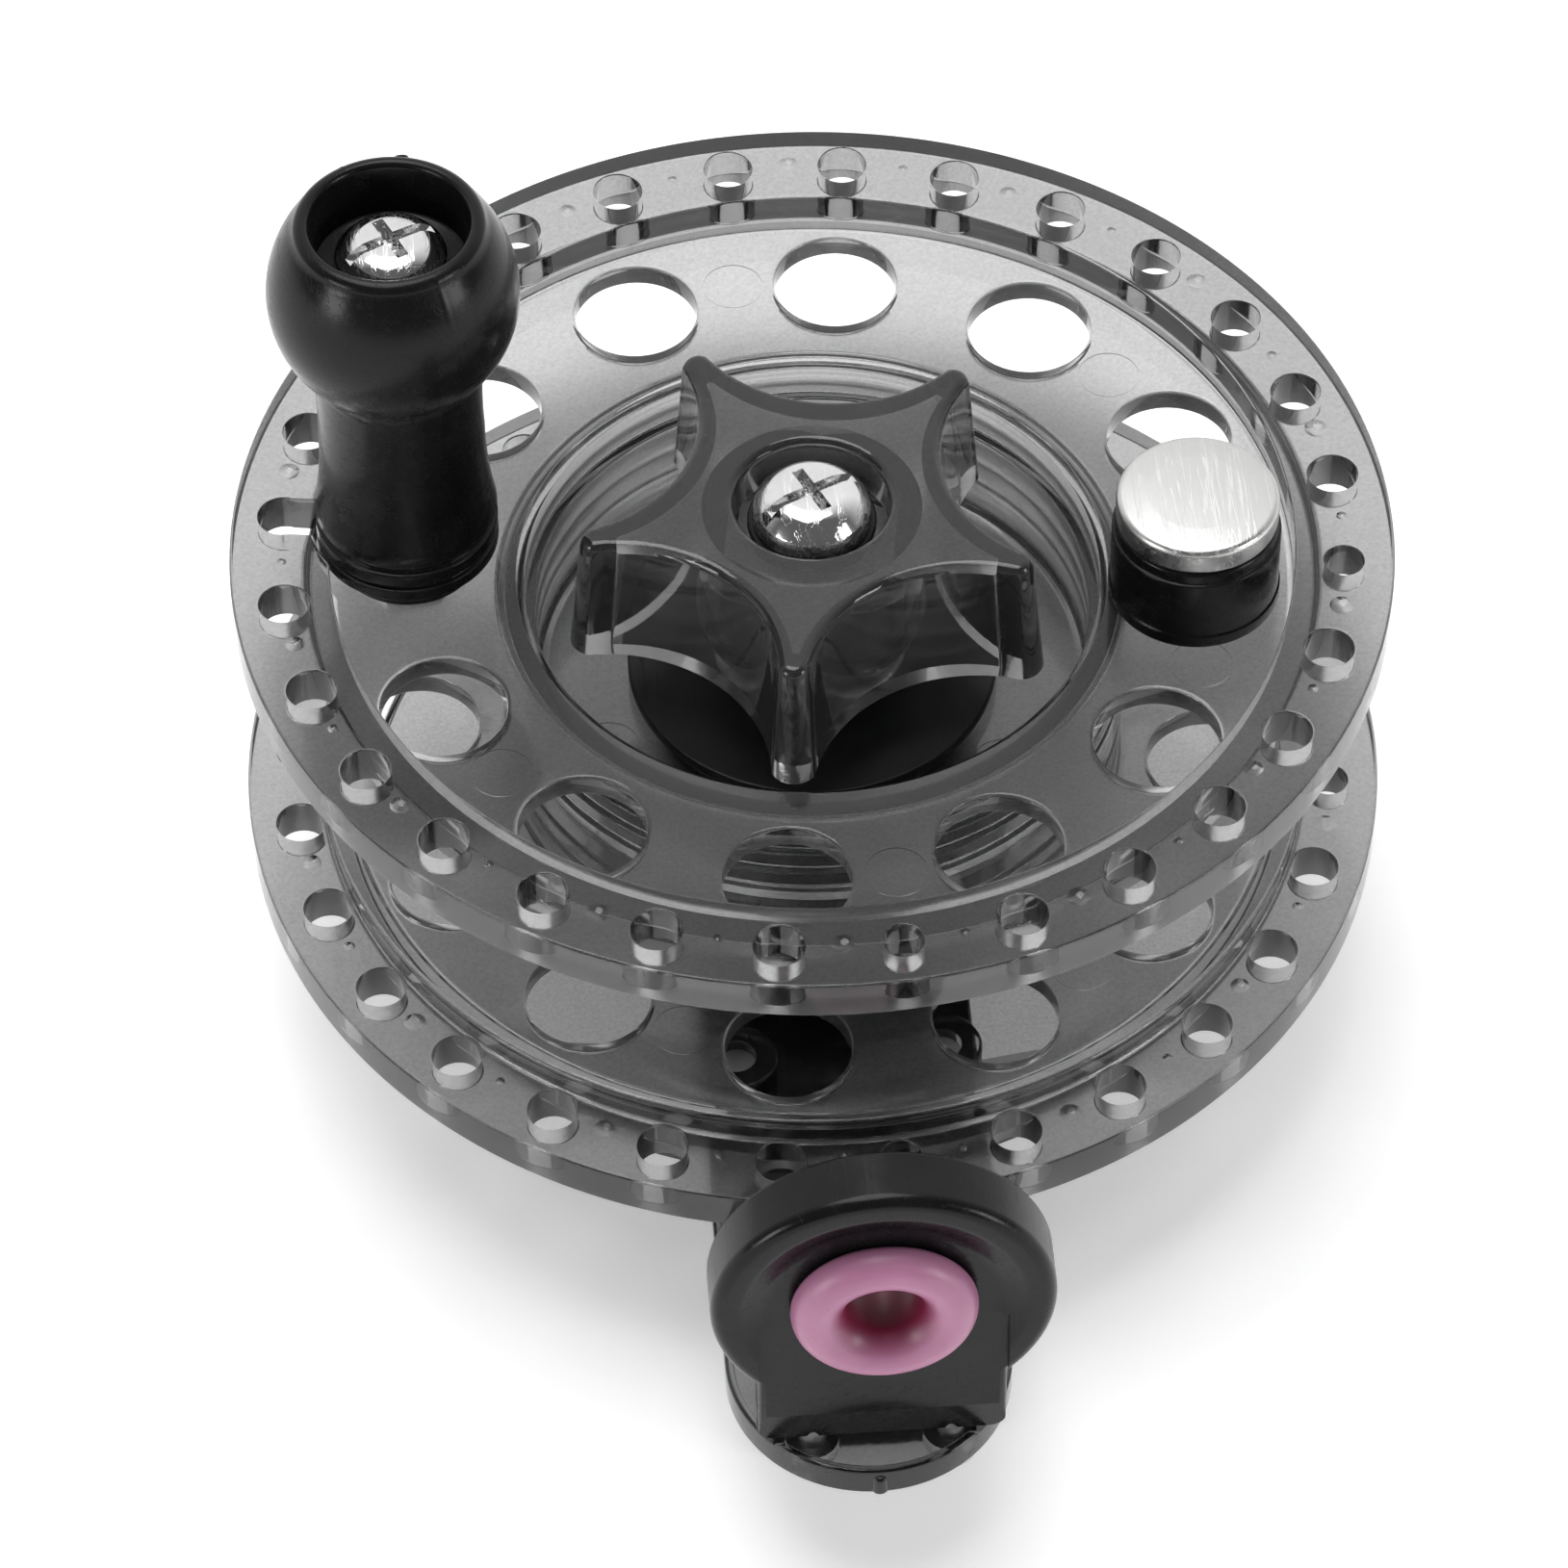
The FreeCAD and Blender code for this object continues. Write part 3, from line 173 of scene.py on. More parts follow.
def on_circle(radius, angle):
    """Point at a radius and an angle."""
    return Vector((radius * math.cos(angle), radius * math.sin(angle)))


def rim_hole_angle(step):
    return HOLE_PHASE + TAU * step / RIM_HOLES


def web_hole_angle(step):
    return HOLE_PHASE + TAU * step / WEB_HOLES


# ---------------------------------------------------------------- outlines

def rounded(corners):
    """Closed outline in which each corner (x, y, radius) is replaced by an arc."""
    points = []
    for index, (x, y, radius) in enumerate(corners):
        here = Vector((x, y))
        if radius <= 0:
            points.append(here)
            continue
        to_last = Vector(corners[index - 1][:2]) - here
        to_next = Vector(corners[(index + 1) % len(corners)][:2]) - here
        half = to_last.angle(to_next) / 2
        if half > math.radians(89):
            points.append(here)
            continue
        reach = radius / math.tan(half)
        longest = 0.49 * min(to_last.length, to_next.length)
        if reach > longest:
            radius *= longest / reach
            reach = longest
        first = to_last.normalized()
        last = to_next.normalized()
        middle = here + (first + last).normalized() * radius / math.sin(half)
        points += arc(middle, here + first * reach, here + last * reach)
    return points


def arc(middle, start, finish):
    """Points of the shorter arc about a middle point, ends included."""
    radius = (start - middle).length
    from_angle = math.atan2(start.y - middle.y, start.x - middle.x)
    to_angle = math.atan2(finish.y - middle.y, finish.x - middle.x)
    sweep = (to_angle - from_angle + math.pi) % TAU - math.pi
    steps = max(2, math.ceil(abs(sweep) / ARC_STEP))
    return [middle + on_circle(radius, from_angle + sweep * step / steps) for step in range(steps + 1)]


def bulge(start, finish, radius, side, steps=10):
    """Arc between two points, without the last; side 1 bulges to the left of the way, -1 to the right."""
    start, finish = Vector(start), Vector(finish)
    chord = finish - start
    left = Vector((-chord.y, chord.x)).normalized()
    middle = (start + finish) / 2 - left * side * math.sqrt(radius ** 2 - (chord.length / 2) ** 2)
    from_angle = math.atan2(start.y - middle.y, start.x - middle.x)
    to_angle = math.atan2(finish.y - middle.y, finish.x - middle.x)
    sweep = (to_angle - from_angle + math.pi) % TAU - math.pi
    return [middle + on_circle(radius, from_angle + sweep * step / steps) for step in range(steps)]


def inset(outline, distance):
    """Outline moved inwards; counter-clockwise outlines shrink."""
    moved = []
    for index, point in enumerate(outline):
        before = (point - outline[index - 1]).normalized()
        after = (outline[(index + 1) % len(outline)] - point).normalized()
        way = (before + after).normalized()
        normal = Vector((-way.y, way.x))
        moved.append(point + normal * distance / max(0.3, way.dot(before)))
    return moved


# ---------------------------------------------------------------- meshes

def link(name, mesh):
    """Object of a mesh in the scene."""
    obj = bpy.data.objects.new(name, mesh)
    bpy.context.scene.collection.objects.link(obj)
    return obj


def mesh_object(name, rings, joined_ends=False):
    """Object skinned over rings of points in millimetres; a ring of one point is a tip."""
    bm = bmesh.new()
    made = [[bm.verts.new(Vector(point) * MM) for point in ring] for ring in rings]
    pairs = list(zip(made, made[1:]))
    if joined_ends:
        pairs.append((made[-1], made[0]))
    for lower, upper in pairs:
        count = max(len(lower), len(upper))
        for step in range(count):
            following = (step + 1) % count
            corners = (
                lower[step % len(lower)], lower[following % len(lower)],
                upper[following % len(upper)], upper[step % len(upper)],
            )
            unique = list(dict.fromkeys(corners))
            if len(unique) > 2:
                bm.faces.new(unique)
    if not joined_ends:
        for ring in (made[0], made[-1]):
            if len(ring) > 2:
                bm.faces.new(ring)
    bmesh.ops.recalc_face_normals(bm, faces=bm.faces)
    mesh = bpy.data.meshes.new(name)
    bm.to_mesh(mesh)
    bm.free()
    return link(name, mesh)


def lathe(name, outline, middle=(0, 0), segments=192, base=0.0):
    """Solid turned from an outline of (radius, height); an outline that meets the axis is closed there."""
    solid = outline[0][0] < 1e-6 and outline[-1][0] < 1e-6
    rings = []
    for radius, height in outline:
        if radius < 1e-6:
            rings.append([(middle[0], middle[1], base + height)])
        else:
            rings.append([
                (*(Vector(middle) + on_circle(radius, TAU * step / segments)), base + height)
                for step in range(segments)
            ])
    return mesh_object(name, rings, joined_ends=not solid)


def slab(name, outline, bottom, top, edge=0.3, steps=3):
    """Flat solid of an outline, with rounded edges above and below."""
    levels = []
    for step in range(steps + 1):
        angle = math.pi / 2 * step / steps
        levels.append((edge * (1 - math.sin(angle)), bottom + edge * (1 - math.cos(angle))))
    levels += [(shrink, bottom + top - height) for shrink, height in reversed(levels)]
    return mesh_object(name, [
        [(point.x, point.y, height) for point in inset(outline, shrink)]
        for shrink, height in levels
    ])


def cutter(radius, bottom, top, middle, flare=0.12, segments=64):
    """Drill for a round hole whose two mouths are rounded."""
    outline = [(0, bottom - OVERCUT), (radius + flare * 1.05, bottom - OVERCUT)]
    for step in range(5):
        angle = math.pi / 2 * step / 4
        outline.append((radius + flare * (1 - math.sin(angle)), bottom + flare * (1 - math.cos(angle))))
    outline += [(wide, bottom + top - height) for wide, height in reversed(outline[1:])]
    outline.append((0, top + OVERCUT))
    return lathe("cutter", outline, middle, segments)


def dimple(middle, level, radius, depth, segments=32):
    """Shallow round dent in a face that looks up."""
    sphere = (radius ** 2 + depth ** 2) / (2 * depth)
    outline = [(0, level - depth)]
    for step in range(1, 7):
        wide = radius * step / 6
        outline.append((wide, level - depth + sphere - math.sqrt(sphere ** 2 - wide ** 2)))
    outline += [(radius, level + 0.3), (0, level + 0.3)]
    return lathe("cutter", outline, middle, segments)


def wedge(bottom, top, half_length, half_width, taper, angle, middle=(0, 0)):
    """Bar for cutting a driver's slot; it narrows towards its bottom by a taper."""
    rings = []
    for level, shrink in ((bottom, taper), (top, 1.0)):
        corners = []
        for along, across in ((-1, -1), (1, -1), (1, 1), (-1, 1)):
            point = Vector((along * half_length * shrink, across * half_width * shrink))
            point.rotate(Matrix.Rotation(angle, 2))
            corners.append((*(point + Vector(middle)), level))
        rings.append(corners)
    return mesh_object("cutter", rings)


def merge(objects):
    """One object of several that don't meet."""
    first = objects[0]
    bm = bmesh.new()
    for obj in objects:
        bm.from_mesh(obj.data)
    bm.to_mesh(first.data)
    bm.free()
    for obj in objects[1:]:
        remove(obj)
    return first


def remove(obj):
    mesh = obj.data
    bpy.data.objects.remove(obj)
    bpy.data.meshes.remove(mesh)


def combine(target, tools, operation="DIFFERENCE"):
    """Cut tools out of the target, or join them to it. The tools don't meet each other."""
    tool = merge(list(tools))
    modifier = target.modifiers.new("combine", "BOOLEAN")
    modifier.operation = operation
    modifier.solver = "MANIFOLD"
    modifier.object = tool
    settle(target)
    remove(tool)
    return target


def settle(obj):
    """Apply an object's modifiers."""
    graph = bpy.context.evaluated_depsgraph_get()
    mesh = bpy.data.meshes.new_from_object(obj.evaluated_get(graph))
    old = obj.data
    obj.modifiers.clear()
    obj.data = mesh
    bpy.data.meshes.remove(old)


def smooth(obj, angle=32):
    """Smooth shading inside each face, with edges kept where the surface turns sharply."""
    obj.data.shade_smooth()
    obj.data.set_sharp_from_angle(angle=math.radians(angle))
    weighted = obj.modifiers.new("normals", "WEIGHTED_NORMAL")
    weighted.keep_sharp = True
    return obj


def transform(obj, matrix):
    """Move the mesh itself by a matrix in millimetres."""
    scale = Matrix.Scale(MM, 4)
    obj.data.transform(scale @ matrix @ scale.inverted())
    return obj


def mark_faces(obj, mark, chosen):
    """Mark faces for clear_plastic: "grain" where the mould was rough, and a second mark where shade is painted
    into the tint.
    """
    marked = obj.data.attributes.new(mark, "FLOAT", "FACE")
    marked.data.foreach_set("value", [float(chosen(face)) for face in obj.data.polygons])


def piece(obj, name, body, slot, nodes, angle=32):
    """Name a finished piece, give it its finish, and stand it in for its CAD nodes."""
    obj.name = name
    obj.data.name = name
    smooth(obj, angle)
    obj.data.materials.clear()
    obj.data.materials.append(FINISHES[slot])
    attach(obj, body)
    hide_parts(*nodes)
    return obj


# ---------------------------------------------------------------- finishes

def new_finish(name):
    """Node material with a plain Principled shader: the material, its tree and the shader."""
    material = bpy.data.materials.new(name)
    material.use_nodes = True
    tree = material.node_tree
    return material, tree, tree.nodes["Principled BSDF"]


def node(tree, kind, inputs=None, **settings):
    """Node of a kind, with some settings, and inputs given as values or as sockets to link."""
    made = tree.nodes.new(kind)
    for key, value in settings.items():
        setattr(made, key, value)
    for key, value in (inputs or {}).items():
        if isinstance(value, bpy.types.NodeSocket):
            tree.links.new(value, made.inputs[key])
        else:
            made.inputs[key].default_value = value
    return made


def place_texture(tree, stretch=(1, 1, 1), turn=0.0):
    """Object coordinates in metres, stretched and turned about the vertical axis."""
    place = node(tree, "ShaderNodeTexCoord").outputs["Object"]
    mapping = node(tree, "ShaderNodeMapping", {"Vector": place, "Scale": stretch, "Rotation": (0, 0, turn)})
    return mapping.outputs["Vector"]


def noise(tree, scale, detail, stretch=(1, 1, 1), turn=0.0):
    """Noise with this many lumps to the metre, from 0 to 1."""
    vector = place_texture(tree, stretch, turn)
    inputs = {"Vector": vector, "Scale": scale, "Detail": detail, "Roughness": 0.55}
    return node(tree, "ShaderNodeTexNoise", inputs).outputs["Fac"]


def spread(tree, value, from_low, from_high, to_low, to_high):
    """Map one range onto another, with the ends held."""
    ends = {"From Min": from_low, "From Max": from_high, "To Min": to_low, "To Max": to_high}
    return node(tree, "ShaderNodeMapRange", {"Value": value, **ends}).outputs["Result"]


def maths(tree, operation, first, second):
    return node(tree, "ShaderNodeMath", {0: first, 1: second}, operation=operation).outputs["Value"]


def mixed(tree, factor, first, second):
    """Colour between two colours."""
    mix = node(tree, "ShaderNodeMix", data_type="RGBA")
    tree.links.new(factor, mix.inputs["Factor"])
    for key, value in (("A", first), ("B", second)):
        socket = next(s for s in mix.inputs if s.name == key and s.type == "RGBA")
        if isinstance(value, bpy.types.NodeSocket):
            tree.links.new(value, socket)
        else:
            socket.default_value = (*value, 1)
    return next(s for s in mix.outputs if s.type == "RGBA")


def scratches(tree, spacing, turns, width):
    """Fine straight scratches in several directions, 1 on a scratch and 0 elsewhere."""
    total = None
    for turn in turns:
        field = noise(tree, spacing, 2.0, stretch=(1, 0.035, 1), turn=turn)
        line = spread(tree, maths(tree, "ABSOLUTE", maths(tree, "SUBTRACT", field, 0.62), 0), 0, width, 1, 0)
        total = line if total is None else maths(tree, "MAXIMUM", total, line)
    return total


def bump(tree, shader, heights):
    """Add up heights in millimetres, given as (value, depth), into the shader's normal."""
    total = None
    for value, depth in heights:
        scaled = maths(tree, "MULTIPLY", value, depth)
        total = scaled if total is None else maths(tree, "ADD", total, scaled)
    made = node(tree, "ShaderNodeBump", {"Height": total, "Distance": MM, "Strength": 1.0})
    tree.links.new(made.outputs["Normal"], shader.inputs["Normal"])


def plain(shader, **values):
    """Set uniform values on the shader's own sockets; underscores stand for spaces."""
    for key, value in values.items():
        shader.inputs[key.replace("_", " ")].default_value = value


def clear_plastic(name, density, rough, haze):
    """Smoke-tinted clear plastic that darkens with depth; marked faces are grained, or darkened with painted
    shade.
    """
    material, tree, shader = new_finish(name)
    plain(shader, Transmission_Weight=1.0 - haze, IOR=1.49)
    grained = node(tree, "ShaderNodeAttribute", attribute_name="grain").outputs["Fac"]
    painted_shade = node(tree, "ShaderNodeAttribute", attribute_name="painted_shade").outputs["Fac"]
    flow = noise(tree, 90, 5.0)
    speckle = noise(tree, 2900, 2.0)
    rubbed = spread(tree, noise(tree, 38, 2.0), 0.50, 0.66, 0, 1)
    hairs = maths(tree, "MULTIPLY", scratches(tree, 900, (0.4, 1.5, 2.3), width=0.007), rubbed)
    dust = spread(tree, noise(tree, 2600, 2.0), 0.71, 0.77, 0, 1)
    clouded = maths(tree, "MULTIPLY", spread(tree, noise(tree, 3400, 3.0), 0.42, 0.62, 0, 1), 0.8)
    cloud = maths(tree, "ADD", clouded, maths(tree, "MULTIPLY", flow, 0.3))
    colour = mixed(tree, cloud, (1.0, 1.0, 1.0), (0.80, 0.80, 0.81))
    # painted shade: faces so marked have their colour pulled down to dark grey, standing in for shade
    tree.links.new(mixed(tree, painted_shade, colour, (0.22, 0.22, 0.225)), shader.inputs["Base Color"])
    soft = spread(tree, flow, 0.35, 0.7, rough, rough * 1.6)
    marks = maths(tree, "MULTIPLY", maths(tree, "MAXIMUM", hairs, dust), 0.12)
    matt = maths(tree, "MULTIPLY", grained, 0.34)
    tree.links.new(maths(tree, "ADD", maths(tree, "ADD", soft, marks), matt), shader.inputs["Roughness"])
    pits = maths(tree, "MULTIPLY", speckle, grained)
    bump(tree, shader, (
        (flow, 0.03), (noise(tree, 420, 3.0), 0.006), (speckle, 0.0008), (pits, 0.010), (hairs, -0.001),
    ))
    inside = node(tree, "ShaderNodeVolumeAbsorption", {"Color": (0.04, 0.04, 0.042, 1), "Density": density})
    output = next(n for n in tree.nodes if n.type == "OUTPUT_MATERIAL")
    tree.links.new(inside.outputs["Volume"], output.inputs["Volume"])
    return material


def moulded_plastic(name, dark, light, gloss=0.16):
    """Solid moulded plastic: glossy, with slight colour change, orange peel and handling wear."""
    material, tree, shader = new_finish(name)
    cloud = noise(tree, 140, 5.0)
    colour = mixed(tree, spread(tree, cloud, 0.3, 0.72, 0, 1), dark, light)
    tree.links.new(colour, shader.inputs["Base Color"])
    scuffs = scratches(tree, 900, (0.2, 1.2, 2.6), width=0.010)
    fine = noise(tree, 1500, 3.0)
    rough = spread(tree, cloud, 0.3, 0.75, gloss, gloss * 1.9)
    worn = maths(tree, "ADD", rough, maths(tree, "MULTIPLY", scuffs, 0.14))
    tree.links.new(worn, shader.inputs["Roughness"])
    plain(shader, IOR=1.5, Specular_IOR_Level=0.2)
    bump(tree, shader, ((fine, 0.006), (noise(tree, 330, 3.0), 0.018), (scuffs, -0.004)))
    return material


def metal(name, colour, rough, brush=0.0):
    """Plated or machined metal with fine marks; brush is the depth of its brushed grain in millimetres."""
    material, tree, shader = new_finish(name)
    plain(shader, Metallic=1.0)
    cloud = noise(tree, 260, 5.0)
    darker = tuple(value * 0.82 for value in colour)
    clouded = mixed(tree, spread(tree, cloud, 0.3, 0.7, 0, 1), colour, darker)
    tree.links.new(clouded, shader.inputs["Base Color"])
    scuffs = scratches(tree, 1300, (0.3, 1.1, 1.9, 2.7), width=0.02)
    grain = noise(tree, 3000, 2.0, stretch=(1, 0.06, 1), turn=0.5)
    soft = spread(tree, cloud, 0.3, 0.75, rough, rough * 1.8)
    worn = maths(tree, "ADD", soft, maths(tree, "MULTIPLY", scuffs, 0.18))
    tree.links.new(worn, shader.inputs["Roughness"])
    bump(tree, shader, ((scuffs, -0.006), (grain, brush), (cloud, 0.01)))
    return material


def ceramic(name):
    """Glazed pink ceramic, with painted shade: darker crimson down the throat."""
    material, tree, shader = new_finish(name)
    cloud = noise(tree, 200, 4.0)
    glaze = mixed(tree, spread(tree, cloud, 0.3, 0.7, 0, 1), (0.47, 0.20, 0.335), (0.41, 0.165, 0.285))
    place = node(tree, "ShaderNodeTexCoord").outputs["Object"]
    axis = (GUIDE_X * MM, 0, GUIDE_LEVEL * MM)
    vector_maths = "ShaderNodeVectorMath"
    across = node(tree, vector_maths, {0: place, 1: axis}, operation="SUBTRACT").outputs["Vector"]
    flat = node(tree, vector_maths, {0: across, 1: (1, 0, 1)}, operation="MULTIPLY").outputs["Vector"]
    away = node(tree, vector_maths, {0: flat}, operation="LENGTH").outputs["Value"]
    # painted shade: towards the bore the colour turns dark crimson, standing in for the shade inside the ring
    throat = spread(tree, away, 2.9 * MM, 4.2 * MM, 0, 1)
    colour = mixed(tree, throat, (0.20, 0.018, 0.055), glaze)
    specks = spread(tree, noise(tree, 1900, 2.0), 0.72, 0.78, 0, 0.4)
    tree.links.new(mixed(tree, specks, colour, (0.25, 0.09, 0.14)), shader.inputs["Base Color"])
    tree.links.new(spread(tree, cloud, 0.3, 0.7, 0.3, 0.42), shader.inputs["Roughness"])
    plain(shader, IOR=1.5, Subsurface_Weight=0.12, Subsurface_Radius=(1.0, 0.35, 0.5))
    plain(shader, Subsurface_Scale=0.8 * MM)
    bump(tree, shader, ((noise(tree, 500, 3.0), 0.02), (noise(tree, 2500, 2.0), 0.004)))
    return material


def fibre(name):
    """Pressed dark fibre."""
    material, tree, shader = new_finish(name)
    weave = noise(tree, 2200, 6.0, stretch=(1, 0.3, 1))
    colour = mixed(tree, spread(tree, weave, 0.3, 0.7, 0, 1), (0.03, 0.028, 0.026), (0.07, 0.065, 0.06))
    tree.links.new(colour, shader.inputs["Base Color"])
    tree.links.new(spread(tree, weave, 0.3, 0.7, 0.65, 0.9), shader.inputs["Roughness"])
    bump(tree, shader, ((weave, 0.05),))
    return material


FINISHES = {
    "smoke_clear": clear_plastic("smoke_clear", 215.0, rough=0.06, haze=0.012),
    "smoke_dark": clear_plastic("smoke_dark", 250.0, rough=0.04, haze=0.022),
    "black_gloss": moulded_plastic("black_gloss", (0.004, 0.004, 0.0042), (0.009, 0.009, 0.0094)),
    "black_satin": moulded_plastic("black_satin", (0.008, 0.008, 0.0085), (0.016, 0.016, 0.0165), gloss=0.34),
    "chrome": metal("chrome", (0.80, 0.80, 0.80), 0.09),
    "nickel": metal("nickel", (0.66, 0.66, 0.65), 0.24, brush=0.006),
    "steel": metal("steel", (0.52, 0.52, 0.53), 0.28, brush=0.004),
    "pink_ceramic": ceramic("pink_ceramic"),
    "fibre": fibre("fibre"),
}


# ---------------------------------------------------------------- spool

def grooves(first, count):
    """Outline corners of the drum's grooves, from the top down."""
    corners = []
    for step in reversed(range(count)):
        bottom = first + GROOVE_PITCH * step
        top = bottom + GROOVE_WIDTH
        floor = DRUM_RADIUS - GROOVE_DEPTH
        for radius, height in ((DRUM_RADIUS, top), (floor, top), (floor, bottom), (DRUM_RADIUS, bottom)):
            corners.append((radius, height, 0.12))
    return corners


def rim_drills(bottom, top, skipped=()):
    """Drills for the line holes round a rim."""
    return [
        cutter(
            SMALL_HOLE_RADIUS if step in SMALL_HOLES else RIM_HOLE_RADIUS,
            bottom, top, on_circle(RIM_HOLE_CIRCLE, rim_hole_angle(step)),
        )
        for step in range(RIM_HOLES) if step not in skipped
    ]


def web_drills(bottom, top, taken=()):
    """Drills for the large holes round a web."""
    return [
        cutter(WEB_HOLE_RADIUS, bottom, top, on_circle(WEB_HOLE_CIRCLE, web_hole_angle(step)), 0.3, 96)
        for step in range(WEB_HOLES) if step not in taken
    ]


def rim_dimples(level):
    """Dents between the line holes, large and small by turns, as the mould's pins left them."""
    random.seed(7)
    dents = []
    for step in range(RIM_HOLES):
        large = step % 2 == 0
        radius = (0.85 if large else 0.42) * random.uniform(0.85, 1.1)
        angle = HOLE_PHASE + TAU * (step + 0.5 + random.uniform(-0.04, 0.04)) / RIM_HOLES
        circle = RIM_HOLE_CIRCLE + random.uniform(-0.3, 0.3)
        dents.append(dimple(on_circle(circle, angle), level, radius, 0.3 if large else 0.22))
    return dents


def screw_places():
    """Middles of the four screws that hold the spool's halves together."""
    return [on_circle(BOSS_CIRCLE, BOSS_PHASE + TAU * step / 4) for step in range(4)]


def paint_hole_wall_shade(flange):
    """Paint shade on the walls of a flange's holes and of the step inside its rim, which are seen edge-on."""
    inner, outer = WEB_HOLE_CIRCLE - 5.5, RIM - 1
    mark_faces(flange, "painted_shade", lambda face: HOLE_PAINTED_SHADE * (
        abs(face.normal.z) < 0.5 and inner < face.center.xy.length / MM < outer
    ))


def ejector_marks(level, circle, angles):
    """Flat round marks that the mould's ejectors left."""
    bottom, top = level - EJECTOR_DEPTH, level + 0.3
    outline = [(0, bottom), (EJECTOR_RADIUS, bottom), (EJECTOR_RADIUS, top), (0, top)]
    return [lathe("cutter", outline, on_circle(circle, angle), 64) for angle in angles]


def build_upper_flange():
    """Upper half of the spool: rim, web, drag cup, half of the drum, hub tube and bosses."""
    web = SPOOL_TOP - WEB_DROP
    under = web - WEB_WALL
    floor = SPOOL_TOP - CUP_DEPTH
    ledge = CUP_RADIUS - CUP_LEDGE
    ledge_level = web - CUP_LEDGE_DEPTH
    hub_base = low("spool_top").z
    bush = BUSH_RADIUS + 0.03
    spigot = DRUM_RADIUS - DRUM_WALL - 0.1
    flange = lathe("upper_flange", rounded([
        (STEP_RADIUS, SPOOL_TOP, 0.2),
        (RIM, SPOOL_TOP, 0.22),
        (RIM, SPOOL_TOP - RIM_WALL, 0.2),
        (STEP_RADIUS + BAND_WALL, SPOOL_TOP - RIM_WALL, 0.5),
        (STEP_RADIUS + BAND_WALL, under, 0.4),
        (DRUM_RADIUS, under, 0.5),
        *grooves(SPOOL_MIDDLE + 0.9, 4),
        (DRUM_RADIUS, SPOOL_MIDDLE, 0.08),
        (spigot, SPOOL_MIDDLE, 0),
        (spigot, floor - FLOOR_WALL, 0.15),
        (HUB_RADIUS, floor - FLOOR_WALL, 0.4),
        (HUB_RADIUS, hub_base, 0.2),
        (bush, hub_base, 0),
        (bush, floor, 0),
        (ledge, floor, 0.9),
        (ledge, ledge_level, 0.15),
        (CUP_RADIUS, ledge_level, 0.15),
        (CUP_RADIUS, web - 0.6, 0.1),
        (CUP_RADIUS + 0.6, web, 0.15),
        (STEP_RADIUS, web, 0.5),
    ]), segments=256)
    boss_base, boss_top = SPOOL_MIDDLE - BOSS_REACH, floor - 0.8
    boss = [(0, boss_base), (BOSS_RADIUS, boss_base), (BOSS_RADIUS, boss_top), (0, boss_top)]
    combine(flange, [lathe("boss", boss, spot, 64) for spot in screw_places()], "UNION")
    combine(flange, [cutter(PILOT_RADIUS, boss_base, floor - 1.2, spot, 0.1, 32) for spot in screw_places()])
    in_line = min(range(RIM_HOLES), key=lambda step: -math.cos(rim_hole_angle(step) - HANDLE_ANGLE))
    combine(flange, rim_drills(SPOOL_TOP - RIM_WALL, SPOOL_TOP, skipped=(in_line,)))
    combine(flange, web_drills(under, web, taken=(HANDLE_PLACE, WEIGHT_PLACE)))
    over_top = SPOOL_TOP + OVERCUT
    combine(flange, [lathe("cutter", [
        (0, web), (HANDLE_RELIEF, web), (HANDLE_RELIEF, SPOOL_TOP - 0.35),
        (HANDLE_RELIEF + 0.12, SPOOL_TOP - 0.1), (HANDLE_RELIEF + 0.4, over_top), (0, over_top),
    ], HANDLE, 128)])
    slot_angle = rim_hole_angle(in_line)
    slot_hole = on_circle(RIM_HOLE_CIRCLE, slot_angle)
    combine(flange, [cutter(RIM_HOLE_RADIUS, SPOOL_TOP - RIM_WALL, SPOOL_TOP, slot_hole)])
    half_slot = 2.2
    combine(flange, [wedge(
        SPOOL_TOP - RIM_WALL - OVERCUT, over_top, half_slot, RIM_HOLE_RADIUS - 0.03, 1.0, HANDLE_ANGLE,
        on_circle(RIM_HOLE_CIRCLE - half_slot, slot_angle),
    )])
    combine(flange, [
        cutter(HANDLE_BORE, under, web, HANDLE, 0.15, 48),
        cutter(WEIGHT_BORE, under, web, WEIGHT, 0.15, 48),
    ])
    combine(flange, rim_dimples(SPOOL_TOP))
    between = [web_hole_angle(step + 0.5) for step in range(0, WEB_HOLES, 2)]
    on_floor = [HOLE_PHASE + TAU * step / 6 for step in range(6)]
    combine(flange, ejector_marks(web, WEB_HOLE_CIRCLE, between))
    combine(flange, ejector_marks(floor, FLOOR_EJECTOR_CIRCLE, on_floor))
    mark_faces(flange, "grain", lambda face: face.normal.z < -0.9 or (
        abs(face.normal.z) < 0.3 and ledge - 0.3 < face.center.xy.length / MM < CUP_RADIUS + 0.2
    ))
    paint_hole_wall_shade(flange)
    return piece(flange, "upper_flange", "spool", "smoke_clear", ["spool_top"])


